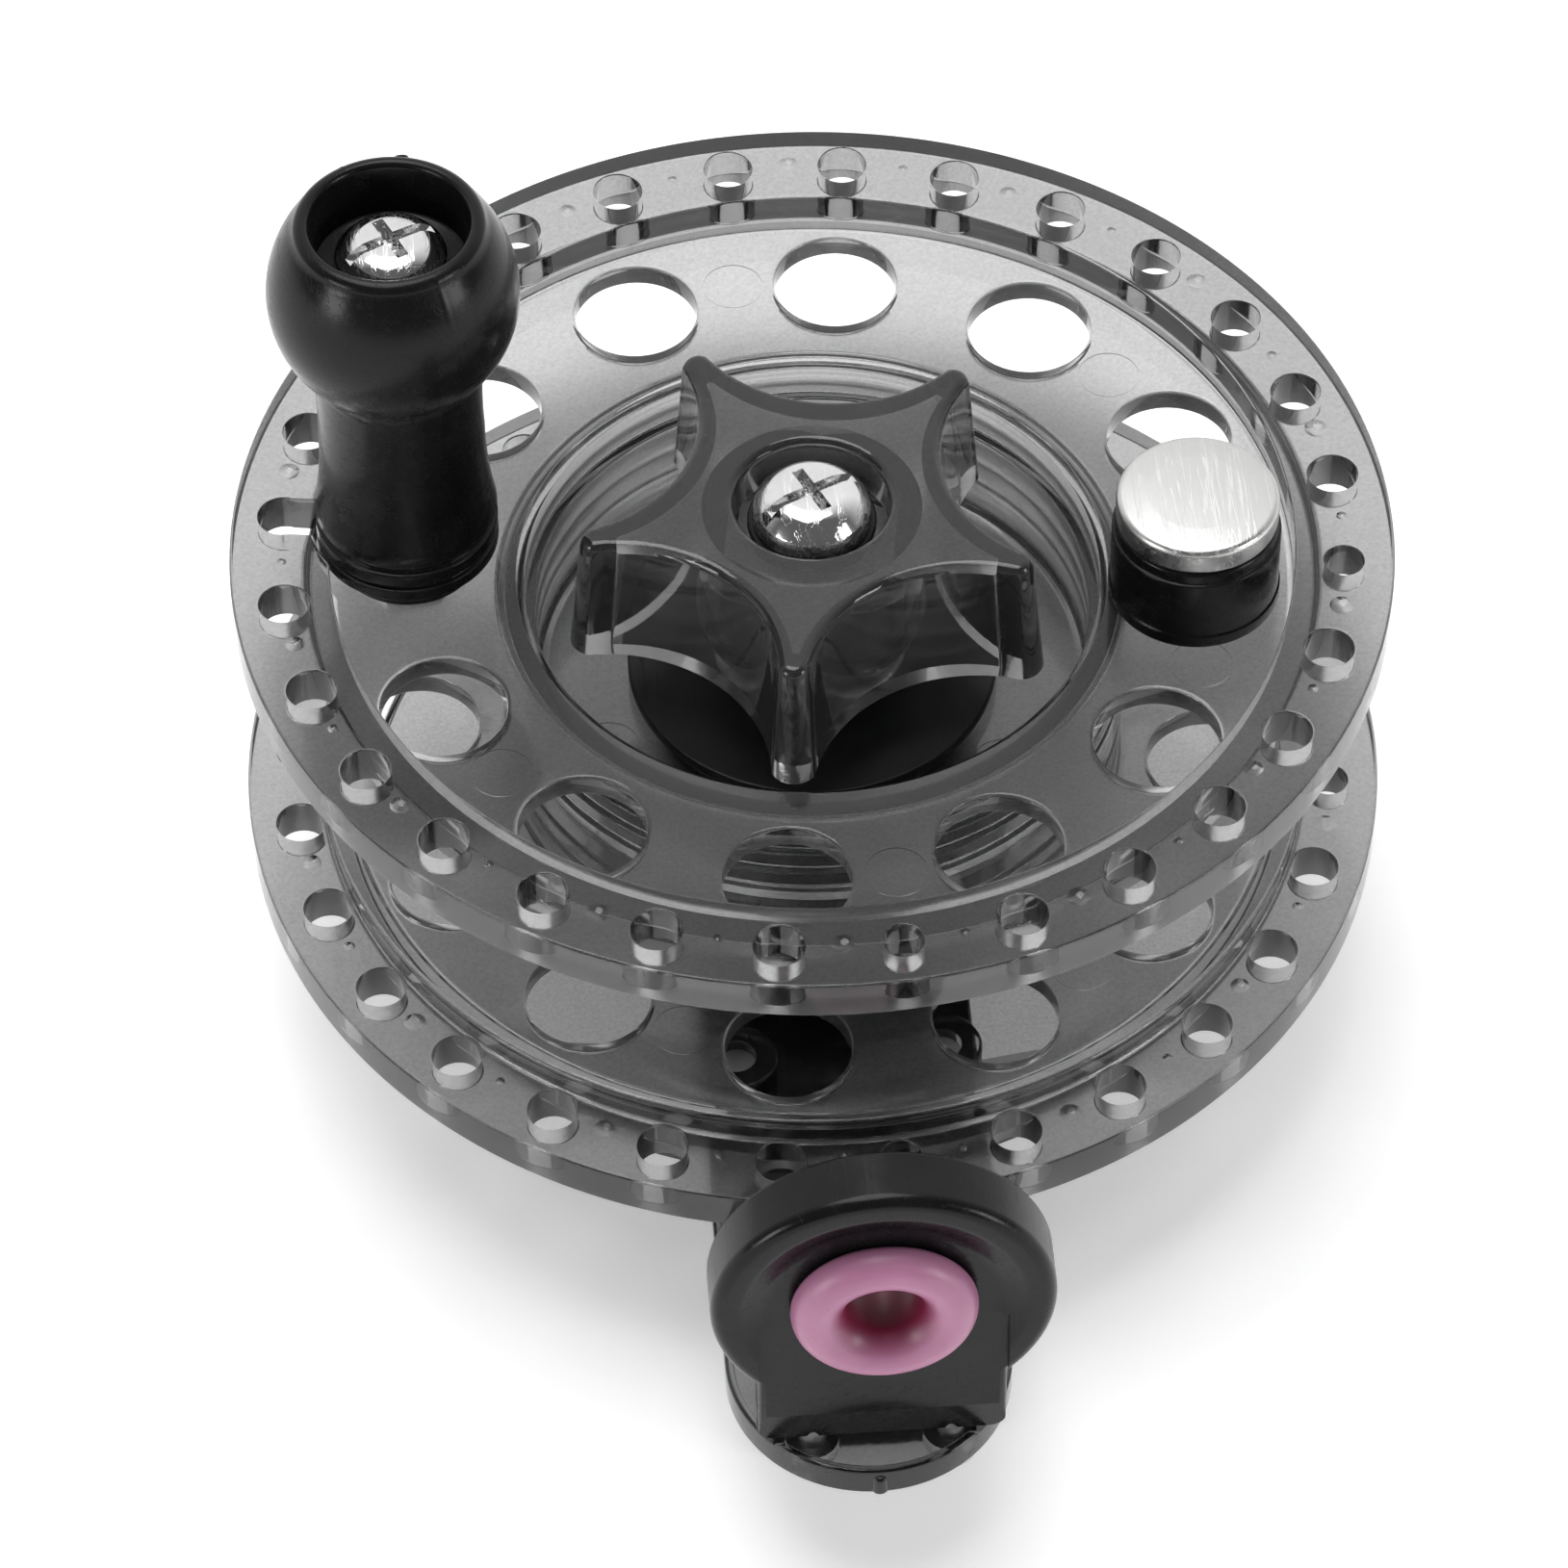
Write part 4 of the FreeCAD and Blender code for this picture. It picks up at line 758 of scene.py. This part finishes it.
def build_lower_flange():
    """Lower half of the spool: the same rim and web the other way up, and the other half of the drum."""
    web = SPOOL_BASE + WEB_DROP
    over = web + WEB_WALL
    flange = lathe("lower_flange", rounded([
        (STEP_RADIUS, SPOOL_BASE, 0.2),
        (RIM, SPOOL_BASE, 0.2),
        (RIM, SPOOL_BASE + RIM_WALL, 0.22),
        (STEP_RADIUS + BAND_WALL, SPOOL_BASE + RIM_WALL, 0.5),
        (STEP_RADIUS + BAND_WALL, over, 0.4),
        (DRUM_RADIUS, over, 0.5),
        *reversed(grooves(over + 1.2, 3)),
        (DRUM_RADIUS, SPOOL_MIDDLE - 0.03, 0.08),
        (DRUM_RADIUS - DRUM_WALL, SPOOL_MIDDLE - 0.03, 0),
        (DRUM_RADIUS - DRUM_WALL, over, 0.3),
        (HUB_RADIUS + 0.1, over, 0.2),
        (HUB_RADIUS + 0.1, web, 0.2),
        (STEP_RADIUS, web, 0.5),
    ]), segments=256)
    combine(flange, rim_drills(SPOOL_BASE, SPOOL_BASE + RIM_WALL))
    combine(flange, web_drills(web, over))
    combine(flange, [cutter(PILOT_RADIUS, web, over, spot, 0.1, 32) for spot in screw_places()])
    combine(flange, rim_dimples(SPOOL_BASE + RIM_WALL))
    between = [web_hole_angle(step + 0.5) for step in range(1, WEB_HOLES, 2)]
    combine(flange, ejector_marks(over, WEB_HOLE_CIRCLE, between))
    mark_faces(flange, "grain", lambda face: face.normal.z < -0.9)
    paint_hole_wall_shade(flange)
    return piece(flange, "lower_flange", "spool", "smoke_clear", ["spool_bottom"])


# ---------------------------------------------------------------- frame

def plate_outline():
    """Round plate with a straight-sided tongue that ends in a half circle."""
    half = TONGUE_WIDTH / 2
    start = math.atan2(-math.sqrt(PLATE_RADIUS ** 2 - half ** 2), half)
    sweep = TAU - (math.pi / 2 + start) * 2
    points = [on_circle(PLATE_RADIUS, start + sweep * step / 160) for step in range(161)]
    nose = Vector((0, half - TONGUE_REACH))
    points += [nose + on_circle(half, math.pi + math.pi * step / 48) for step in range(49)]
    return points


def build_back_plate():
    """Clear round plate and tongue with a raised lip, bosses, the guide's seat and the mould gate's stub; the
    tongue carries painted shade.
    """
    outline = plate_outline()
    plate = slab("back_plate_clear", outline, PLATE_BASE, PLATE_TOP + PLATE_LIP, edge=0.3)
    combine(plate, [slab("cutter", inset(outline, PLATE_LIP_WALL), PLATE_TOP, PLATE_TOP + 3, edge=0.1)])
    bosses, bores = [], []
    places = [(spot, FOOT_BOSS_RADIUS, PLATE_TOP + FOOT_BOSS_HEIGHT, 0.3) for spot in FOOT_SCREWS]
    places.append((JOINTS["pawl_lift"].xy, PAWL_BOSS_RADIUS, low("click_pawl").z - 0.1, 0.2))
    for spot, radius, top, edge in places:
        base = PLATE_TOP - 1
        section = rounded([(0, base, 0), (radius, base, 0), (radius, top, edge), (0, top, 0)])
        bosses.append(lathe("boss", section, spot, 64))
        bores.append(cutter(FOOT_BORE, PLATE_BASE, top, spot, 0.1, 32))
    combine(plate, bosses, "UNION")
    spindle_bore = 4.02
    bores.append(cutter(spindle_bore, PLATE_BASE, PLATE_TOP, (0, 0), 0.2, 64))
    combine(plate, bores)
    gap = 0.06
    seat_front, seat_back = GUIDE_FRONT + GUIDE_RIM - gap, high("guide_bracket").y + gap
    combine(plate, [wedge(
        PLATE_TOP, PLATE_TOP + 3, GUIDE_STEM / 2 + gap, (seat_back - seat_front) / 2, 1.0, 0.0,
        (GUIDE_X, (seat_front + seat_back) / 2),
    )])
    gate_base, gate_top = PLATE_BASE + 0.3, PLATE_TOP - 0.4
    gate = rounded([(0, gate_base, 0), (0.7, gate_base, 0.1), (0.6, gate_top, 0.3), (0, gate_top, 0)])
    combine(plate, [lathe("gate", gate, (0.0, 0.3 - TONGUE_REACH), 24)], "UNION")
    # painted shade: the tongue is darkened, standing in for the shadow on the floor seen through it
    mark_faces(plate, "painted_shade", lambda face: face.center.y / MM < -PLATE_RADIUS)
    return piece(plate, "back_plate_clear", "frame", "smoke_clear", ["back_plate"])


def rectangle(half, front, back, corner):
    """Outline with rounded corners, as wide to both sides of the middle."""
    places = ((-half, front), (half, front), (half, back), (-half, back))
    return rounded([(*place, corner) for place in places])


def build_foot():
    """Rod foot: a bar that thins to both ends, a stem, and the pad under the plate."""
    toe, heel = low("reel_foot").y, high("reel_foot").y
    half_bar, tip_wall, bar_wall, ramp = 7.2, 2.2, 4.0, 17
    lengthwise = Matrix(((0, 0, 1, 0), (1, 0, 0, 0), (0, 1, 0, 0), (0, 0, 0, 1)))
    bar = slab("reel_foot_bar", rounded([
        (toe, 0, 0.4), (heel, 0, 0.4), (heel, tip_wall, 0.7),
        (heel - ramp, bar_wall, 3.0), (toe + ramp, bar_wall, 3.0), (toe, tip_wall, 0.7),
    ]), -half_bar, half_bar, edge=0.6)
    transform(bar, lengthwise)
    pad_base, pad_top = PLATE_BASE - FOOT_PAD_WALL, PLATE_BASE - 0.01
    stem = slab("stem", rectangle(5, -34, 6, 2), bar_wall - 2, pad_base + 1.25, edge=0.05)
    pad = slab("pad", rectangle(10.9, -36, 19, 2.5), pad_base, pad_top, edge=0.4)
    combine(bar, [stem], "UNION")
    combine(bar, [pad], "UNION")
    combine(bar, [cutter(FOOT_BORE, pad_base, pad_top, spot, 0.1, 32) for spot in FOOT_SCREWS])
    spindle_head = 6.1
    combine(bar, [cutter(spindle_head, pad_base + 0.1, PLATE_BASE + 0.5, (0, 0), 0.05, 64)])
    return piece(bar, "rod_foot", "frame", "black_gloss", ["reel_foot"])


def build_guide():
    """Round head with a raised rim, open below into a flat stem that ends in a sloping band."""
    wall = high("guide_bracket").y - GUIDE_FRONT
    face = wall - GUIDE_RIM
    head = high("guide_bracket").z - GUIDE_LEVEL
    left, right = GUIDE_X - GUIDE_STEM / 2, GUIDE_X + GUIDE_STEM / 2
    middle = (GUIDE_X, GUIDE_LEVEL)
    rim, dish = 10.7, 8.6
    bracket = lathe("guide_bracket_gloss", rounded([
        (GUIDE_SEAT, 0, 0), (head, 0, 0.5), (head, wall, 1.5), (rim, wall, 1.3), (dish, face, 2.4),
        (GUIDE_SEAT, face, 0),
    ]), middle, 192)
    foot, throat = GUIDE_LEVEL - head - 1, GUIDE_LEVEL - 2
    opening = [(left, foot), (right, foot), (right, throat), (left, throat)]
    combine(bracket, [mesh_object("cutter", [
        [(*corner, level) for corner in opening] for level in (face, wall + 1)
    ])])
    waist = GUIDE_LEVEL - 7
    stem = slab("stem", rounded([
        (left, PLATE_TOP, 1.3), (right, PLATE_TOP, 1.3), (right, waist, 0), (left, waist, 0),
    ]), 0, face, edge=0.6, steps=5)
    combine(bracket, [stem], "UNION")
    combine(bracket, [cutter(GUIDE_SEAT, -0.01, face, middle, 0.1, 96)])
    below, band = PLATE_TOP - 1, PLATE_TOP + 3.5
    slope = [(below, face - 0.77), (band, face - 0.01), (band, wall + 2), (below, wall + 2)]
    combine(bracket, [mesh_object("cutter", [
        [(GUIDE_X + side * 12, height, depth) for height, depth in slope] for side in (-1, 1)
    ])])
    stand = Matrix.Translation((0, GUIDE_FRONT + wall, 0)) @ Matrix.Rotation(math.pi / 2, 4, "X")
    transform(bracket, stand)
    return piece(bracket, "guide_bracket_gloss", "frame", "black_gloss", ["guide_bracket"], 28)


def build_line_ring():
    """Pink ceramic ring with a full round front and a flared throat."""
    outer = high("line_ring").z - GUIDE_LEVEL
    crest, mouth = outer - RING_CREST, RING_BORE + 1.4
    front = low("line_ring").y + RING_FRONT
    rear = front - high("line_ring").y
    outline = [Vector((RING_SEAT, rear)), Vector((RING_SEAT, 0))]
    outline += bulge((outer - RING_BACK_ARC, 0), (outer, RING_BACK_ARC), RING_BACK_ARC, -1, 5)
    outline.append(Vector((outer, RING_BACK_ARC)))
    outline += bulge((outer, RING_FRONT - RING_CREST), (crest, RING_FRONT), RING_CREST + 0.02, -1)
    outline += bulge((crest, RING_FRONT), (RING_BORE, -0.2), 2.8, -1, 14)
    outline += bulge((RING_BORE, -3.6), (mouth, rear), 1.8, -1)
    outline.append(Vector((mouth, rear)))
    ring = lathe("line_ring_glazed", outline, segments=128)
    transform(ring, Matrix.Translation((GUIDE_X, front, GUIDE_LEVEL)) @ Matrix.Rotation(math.pi / 2, 4, "X"))
    return piece(ring, "line_ring_glazed", "frame", "pink_ceramic", ["line_ring"], 50)


def screw_mesh(name, middle, top, seat, bottom, head, shank):
    """Domed combination screw with a cross and a slot in its head."""
    rise = top - seat
    screw = lathe(name, rounded([
        (0, bottom, 0), (shank, bottom, 0.3), (shank, seat, 0), (head, seat, 0.2),
        (head, seat + rise * 0.42, 1.0), (head * 0.68, top - 0.06, 2.2), (0, top, 0),
    ]), middle, 96)
    combine(screw, [wedge(top - 0.85, top + 0.2, head * 1.2, 0.42, 1.0, DRIVE_ANGLE, middle)])
    for turn in (0, math.pi / 2):
        combine(screw, [wedge(top - 1.7, top + 0.2, head * 0.54, 0.5, 0.45, DRIVE_ANGLE + turn, middle)])
    return screw


def build_screw(source, seat, body, shank, middle=Vector((0, 0))):
    """Chrome screw for a CAD screw whose head lies on another CAD node."""
    corner = high(source)
    head = corner.x - middle.x
    screw = screw_mesh(f"{source}_head", middle, corner.z, high(seat).z, low(source).z, head, shank)
    return piece(screw, f"{source}_head", body, "chrome", [source], 28)


# ---------------------------------------------------------------- handle and counterweight

def build_handle():
    """Ball-topped knob with a waist, two grooves at its foot, a parting line and a moulding nib."""
    foot, waist, recess, bore, groove = 7.05, 6.4, 6.0, 3.25, 0.35
    narrowest, neck, widest, floor = 12.5, 20.3, 27.4, 29.9
    rise = high("handle_knob").z - low("handle_knob").z
    ball = (high("handle_knob").x - low("handle_knob").x) / 2
    crown, lip = ball * 0.765, 0.5
    outline = [Vector((bore, 0))]
    outline += rounded([
        (foot, 0, 0.35), (foot, 1.7, 0.1), (foot - groove, 1.85, 0.12), (foot - groove, 2.15, 0.12),
        (foot, 2.3, 0.15), (foot, 3.4, 0.15), (foot - groove, 3.55, 0.12), (foot - groove, 3.85, 0.12),
        (foot, 4.0, 0.15), (foot - 3, 4.1, 0),
    ])[:-1]
    outline += bulge((foot, 4.5), (waist, narrowest), 43, 1)
    outline += bulge((waist, narrowest), (waist + 0.12, neck - 0.2), 60, 1)
    outline += bulge((waist + 0.15, neck), (ball, widest), 10.0, -1, 16)
    outline += bulge((ball, widest), (crown, rise - 0.8), 11.2, -1, 14)
    outline += bulge((crown, rise - 0.8), (recess + lip, rise), 0.9, -1, 6)
    outline += bulge((recess + lip, rise), (recess, rise - lip), lip, -1, 4)
    outline += [Vector(corner) for corner in (
        (recess, rise - lip), (recess - 0.15, floor + 0.2), (recess - 0.4, floor), (bore, floor),
    )]
    knob = lathe("handle_knob_gloss", outline, HANDLE, 256, low("handle_knob").z)
    add_parting_line(knob, HANDLE, math.radians(-62), 0.05)
    nib = lathe("nib", rounded([(0, 0, 0), (0.75, 0, 0), (0.5, 0.55, 0.25), (0, 0.6, 0)]), (0, 0), 24)
    lean = Matrix.Translation((HANDLE.x + 1.2, HANDLE.y + 7.0, high("handle_knob").z - 0.95))
    transform(nib, lean @ Matrix.Rotation(math.radians(-55), 4, "X"))
    combine(knob, [nib], "UNION")
    return piece(knob, "handle_knob_gloss", "handle", "black_gloss", ["handle_knob"], 40)


def add_parting_line(obj, middle, angle, height, half_width=math.radians(0.9)):
    """Raise a fine line down both sides of a turned piece, outside its recess."""
    recess = 6.2
    for vertex in obj.data.vertices:
        out = vertex.co.xy / MM - middle
        turn = math.atan2(out.y, out.x) - angle
        away = abs((turn + math.pi / 2) % math.pi - math.pi / 2)
        if away < half_width and out.length > recess:
            vertex.co.xy += out.normalized() * height * MM


def build_counterweight():
    """Slightly domed nickel-plated weight, in a black cup that stands on a thin ring."""
    base, rim = low("counterweight_cup").z, high("counterweight_cup").z
    wide = (high("counterweight_cup").x - low("counterweight_cup").x) / 2
    stem, side, lip = 4.9, wide - 0.12, wide - 0.35
    cup = lathe("counterweight_cup_gloss", rounded([
        (stem + 0.05, base, 0), (wide, base, 0.3), (wide, base + 1.2, 0.25), (side, base + 1.35, 0.1),
        (side, rim - 1.2, 0.15), (lip, rim - 1.1, 0.1), (lip, rim - 0.02, 0.35), (stem + 0.05, rim - 0.02, 0),
    ]), WEIGHT, 160)
    piece(cup, "counterweight_cup_gloss", "spool", "black_gloss", ["counterweight_cup"])
    top = high("counterweight").z
    radius = (high("counterweight").x - low("counterweight").x) / 2
    weight = lathe("counterweight_disc", rounded([
        (WEIGHT_BORE, base, 0), (stem, base, 0.2), (stem, rim, 0), (radius - 0.05, rim, 0.35),
        (radius, top - 0.3, 0.6), (radius * 0.6, top - 0.12, 3), (0, top, 0),
        (0, rim - 1, 0), (WEIGHT_BORE, rim - 1, 0),
    ]), WEIGHT, 192)
    return piece(weight, "counterweight_disc", "spool", "nickel", ["counterweight"])


# ---------------------------------------------------------------- drag

def star_outline(corner_radius, width, side_radius):
    """Five rounded tips, of a width and a reach to their corners, joined by hollow sides."""
    half = math.asin(width / 2 / corner_radius)
    corners = [
        on_circle(corner_radius, STAR_PHASE + TAU * step / 5 + side * half)
        for step in range(5) for side in (-1, 1)
    ]
    points = []
    for index, corner in enumerate(corners):
        following = corners[(index + 1) % len(corners)]
        if index % 2 == 0:
            points += bulge(corner, following, width * 0.56, -1, 12)
        else:
            points += bulge(corner, following, side_radius, 1, 24)
    return points


def star_solid(name, low_star, high_star, bottom, top, edge):
    """Solid between two star outlines, given by star_outline's three sizes, with its top edge rounded."""
    levels = []
    steps = 6
    side = top - edge - bottom
    for step in range(steps + 1):
        share = step / steps
        levels.append((share * side / (top - bottom), 0, bottom + side * share))
    for step in range(1, steps + 1):
        angle = math.pi / 2 * step / steps
        levels.append((1, edge * (1 - math.cos(angle)), top - edge + edge * math.sin(angle)))
    rings = []
    for share, shrink, height in levels:
        sizes = [a + (b - a) * share for a, b in zip(low_star, high_star)]
        rings.append([(point.x, point.y, height) for point in inset(star_outline(*sizes), shrink)])
    return mesh_object(name, rings)


def build_star():
    """Hollow five-pointed knob, with a hub that is recessed for the centre screw."""
    outer_low, outer_high = (18.3, 3.3, 12.8), (17.5, 2.2, 12.5)
    inner_low, inner_high = (15.9, 0.6, 12.9), (15.2, 0.6, 12.9)
    star = star_solid("star_knob_clear", outer_low, outer_high, STAR_BASE, STAR_TOP, 0.7)
    combine(star, [
        star_solid("cutter", inner_low, inner_high, STAR_BASE - 0.2, STAR_TOP - STAR_SKIN, 0.02)
    ])
    hub, hub_base, hub_top = 8.5, STAR_BASE + 0.4, STAR_TOP - STAR_SKIN / 2
    combine(star, [
        lathe("hub", [(0, hub_base), (hub, hub_base), (hub, hub_top), (0, hub_top)], (0, 0), 128)
    ], "UNION")
    radius, floor, mouth = STAR_RECESS, STAR_RECESS_FLOOR, 0.75
    recess = [(0, floor), (radius - 0.4, floor), (radius, floor + 0.4), (radius, STAR_TOP - mouth)]
    recess += [
        (radius + mouth * (1 - math.cos(angle)), STAR_TOP - mouth + mouth * math.sin(angle))
        for angle in (math.pi / 2 * step / 5 for step in range(1, 5))
    ]
    recess += [(radius + mouth + 0.03, STAR_TOP + OVERCUT), (0, STAR_TOP + OVERCUT)]
    combine(star, [lathe("cutter", recess, (0, 0), 128)])
    bore, below = 4.15, hub_base - 1
    combine(star, [lathe("cutter", [(0, below), (bore, below), (bore, floor + 1), (0, floor + 1)])])
    nut_pocket = 7.53
    combine(star, [mesh_object("cutter", [
        [(*on_circle(nut_pocket, STAR_PHASE + TAU * step / 6), level) for step in range(6)]
        for level in (below, high("drag_nut").z + 0.01)
    ])])
    mark_faces(star, "grain", lambda face: face.normal.z < -0.9 and face.center.z / MM > STAR_BASE + 1)
    return piece(star, "star_knob_clear", "star", "smoke_dark", ["star_knob"], 30)


def build_nut(name, source, body, slot, radius, bore, middle=(0, 0), phase=0.0):
    """Hexagon nut with chamfered corners."""
    bottom, top = low(source).z, high(source).z
    hexagon = [on_circle(radius, phase + TAU * step / 6) + Vector(middle) for step in range(6)]
    nut = mesh_object(name, [[(*point, level) for point in hexagon] for level in (bottom, top)])
    flat, chamfer = radius * math.cos(math.pi / 6), 0.5
    barrel = lathe("cutter", [
        (0, bottom - 0.01), (flat, bottom - 0.01), (radius + 0.1, bottom + chamfer),
        (radius + 0.1, top - chamfer), (flat, top + 0.01), (0, top + 0.01),
    ], middle, 96)
    combine(nut, [barrel], "INTERSECT")
    combine(nut, [cutter(bore + 0.02, bottom, top, middle, 0.2, 48)])
    return piece(nut, name, body, slot, [source])


def build_spring():
    """Open coil spring whose end turns lie against their seats."""
    bottom, top = low("drag_spring").z, high("drag_spring").z
    wire, radius, turns, steps = 0.6, 6.4, 2.5, 160
    rise = top - bottom - 2 * wire
    rings = []
    for step in range(steps + 1):
        share = step / steps
        eased = share * share * (3 - 2 * share) * 0.35 + share * 0.65
        outward = on_circle(1, TAU * turns * share).to_3d()
        point = outward * radius + Vector((0, 0, bottom + wire + rise * eased))
        rings.append([
            point + (outward * math.cos(turn) + Vector((0, 0, 1)) * math.sin(turn)) * wire
            for turn in (TAU * corner / 16 for corner in range(16))
        ])
    spring = mesh_object("drag_spring_coil", rings)
    return piece(spring, "drag_spring_coil", "drag_carriage", "steel", ["drag_spring"], 50)


# ---------------------------------------------------------------- what stays as the CAD made it

def dress_cad_nodes():
    """Finish and soften the edges of every CAD node that is still shown."""
    slots = {part["node"]: part["material_slot"] for part in frame["record"]["subparts"]}
    for name, obj in frame["nodes"].items():
        if obj.hide_render:
            continue
        obj.data.materials.clear()
        obj.data.materials.append(FINISHES[slots[name]])
        weld = obj.modifiers.new("weld", "WELD")
        weld.merge_threshold = 0.002 * MM
        edges = obj.modifiers.new("edges", "BEVEL")
        edges.width = 0.12 * MM
        edges.segments = 2
        edges.limit_method = "ANGLE"
        edges.angle_limit = math.radians(40)
        edges.use_clamp_overlap = True


# ---------------------------------------------------------------- studio

def build_floor():
    """Plain pale floor under the foot."""
    bpy.ops.mesh.primitive_plane_add(size=6, location=(0, 0, cad_box[0].z - 0.0001))
    floor = bpy.context.object
    floor.name = "floor"
    material, tree, shader = new_finish("floor")
    plain(shader, Roughness=0.9, Specular_IOR_Level=0.1, Emission_Color=(1, 1, 1, 1), Emission_Strength=0.32)
    fine = noise(tree, 40, 3.0)
    tree.links.new(mixed(tree, fine, (0.91, 0.91, 0.91), (0.95, 0.95, 0.95)), shader.inputs["Base Color"])
    floor.data.materials.append(material)


def add_softbox(name, direction, distance, width, height, power):
    """Rectangular lamp that faces the reel; distances in metres and power in watts."""
    light = bpy.data.lights.new(name, "AREA")
    light.shape = "RECTANGLE"
    light.size = width
    light.size_y = height
    light.energy = power
    lamp = bpy.data.objects.new(name, light)
    bpy.context.scene.collection.objects.link(lamp)
    way = Vector(direction).normalized()
    aim = Vector((0, 0, 0.04))
    lamp.location = aim + way * distance
    lamp.rotation_euler = way.to_track_quat("Z", "Y").to_euler()


def build_studio():
    """Bright backdrop behind, dim surroundings, a broad lamp overhead and a small one at each side."""
    world = bpy.data.worlds.new("studio")
    bpy.context.scene.world = world
    world.use_nodes = True
    tree = world.node_tree
    background = tree.nodes["Background"]
    place = node(tree, "ShaderNodeTexCoord").outputs["Generated"]
    along = node(tree, "ShaderNodeSeparateXYZ", {"Vector": place}).outputs["Y"]
    behind = spread(tree, along, -0.2, 0.55, 0, 1)
    tree.links.new(mixed(tree, behind, (0.13, 0.13, 0.132), (1.0, 1.0, 1.0)), background.inputs["Color"])
    background.inputs["Strength"].default_value = 1.0
    add_softbox("key", (-0.1, 0.12, 1.0), 1.1, 0.8, 0.8, 9.0)
    add_softbox("left", (-0.84, -0.52, 0.2), 1.0, 0.35, 0.3, 2.4)
    add_softbox("right", (0.84, -0.5, 0.25), 1.0, 0.3, 0.35, 2.4)
    bpy.context.scene.view_settings.view_transform = "Standard"


CAMERA_LENS = 177.45
CAMERA_ELEVATION = math.radians(48.974)
CAMERA_TURN = math.radians(-3.9)
CAMERA_ROLL = math.radians(-0.439)
CAMERA_DISTANCE = 13.271 * RIM
CAMERA_ACROSS = -0.0511 * RIM
CAMERA_UP = -0.4226 * RIM


def build_camera():
    """Long lens, looking down on the reel from in front of the line guide."""
    turn = Matrix.Rotation(CAMERA_TURN, 3, "Z")
    back = turn @ Vector((0, -math.cos(CAMERA_ELEVATION), math.sin(CAMERA_ELEVATION)))
    up = turn @ Vector((0, math.sin(CAMERA_ELEVATION), math.cos(CAMERA_ELEVATION)))
    right = turn @ Vector((1, 0, 0))
    data = bpy.data.cameras.new("camera")
    data.lens = CAMERA_LENS
    data.sensor_width = 36
    data.clip_start = 0.05
    data.clip_end = 20
    camera = bpy.data.objects.new("camera", data)
    bpy.context.scene.collection.objects.link(camera)
    place = back * CAMERA_DISTANCE + right * CAMERA_ACROSS + up * CAMERA_UP + Vector((0, 0, SPOOL_TOP))
    facing = Matrix((right, up, back)).transposed().to_4x4()
    camera.matrix_world = Matrix.Translation(place * MM) @ facing @ Matrix.Rotation(CAMERA_ROLL, 4, "Z")
    bpy.context.scene.camera = camera


build_upper_flange()
build_lower_flange()
build_back_plate()
build_foot()
build_guide()
build_line_ring()
build_screw("centre_screw", "centre_washer", "frame", 2.5)
build_screw("handle_screw", "handle_sleeve", "spool", 2.0, HANDLE)
build_handle()
build_counterweight()
build_star()
build_nut("drag_nut_chamfered", "drag_nut", "star", "steel", 7.5, 4.05, phase=STAR_PHASE)
build_nut("spindle_nut_chamfered", "spindle_nut", "frame", "nickel", 7.5, 4.0)
build_nut("handle_nut_chamfered", "handle_nut", "spool", "nickel", 3.9, 2.0, HANDLE)
build_spring()
dress_cad_nodes()
build_floor()
build_studio()
build_camera()
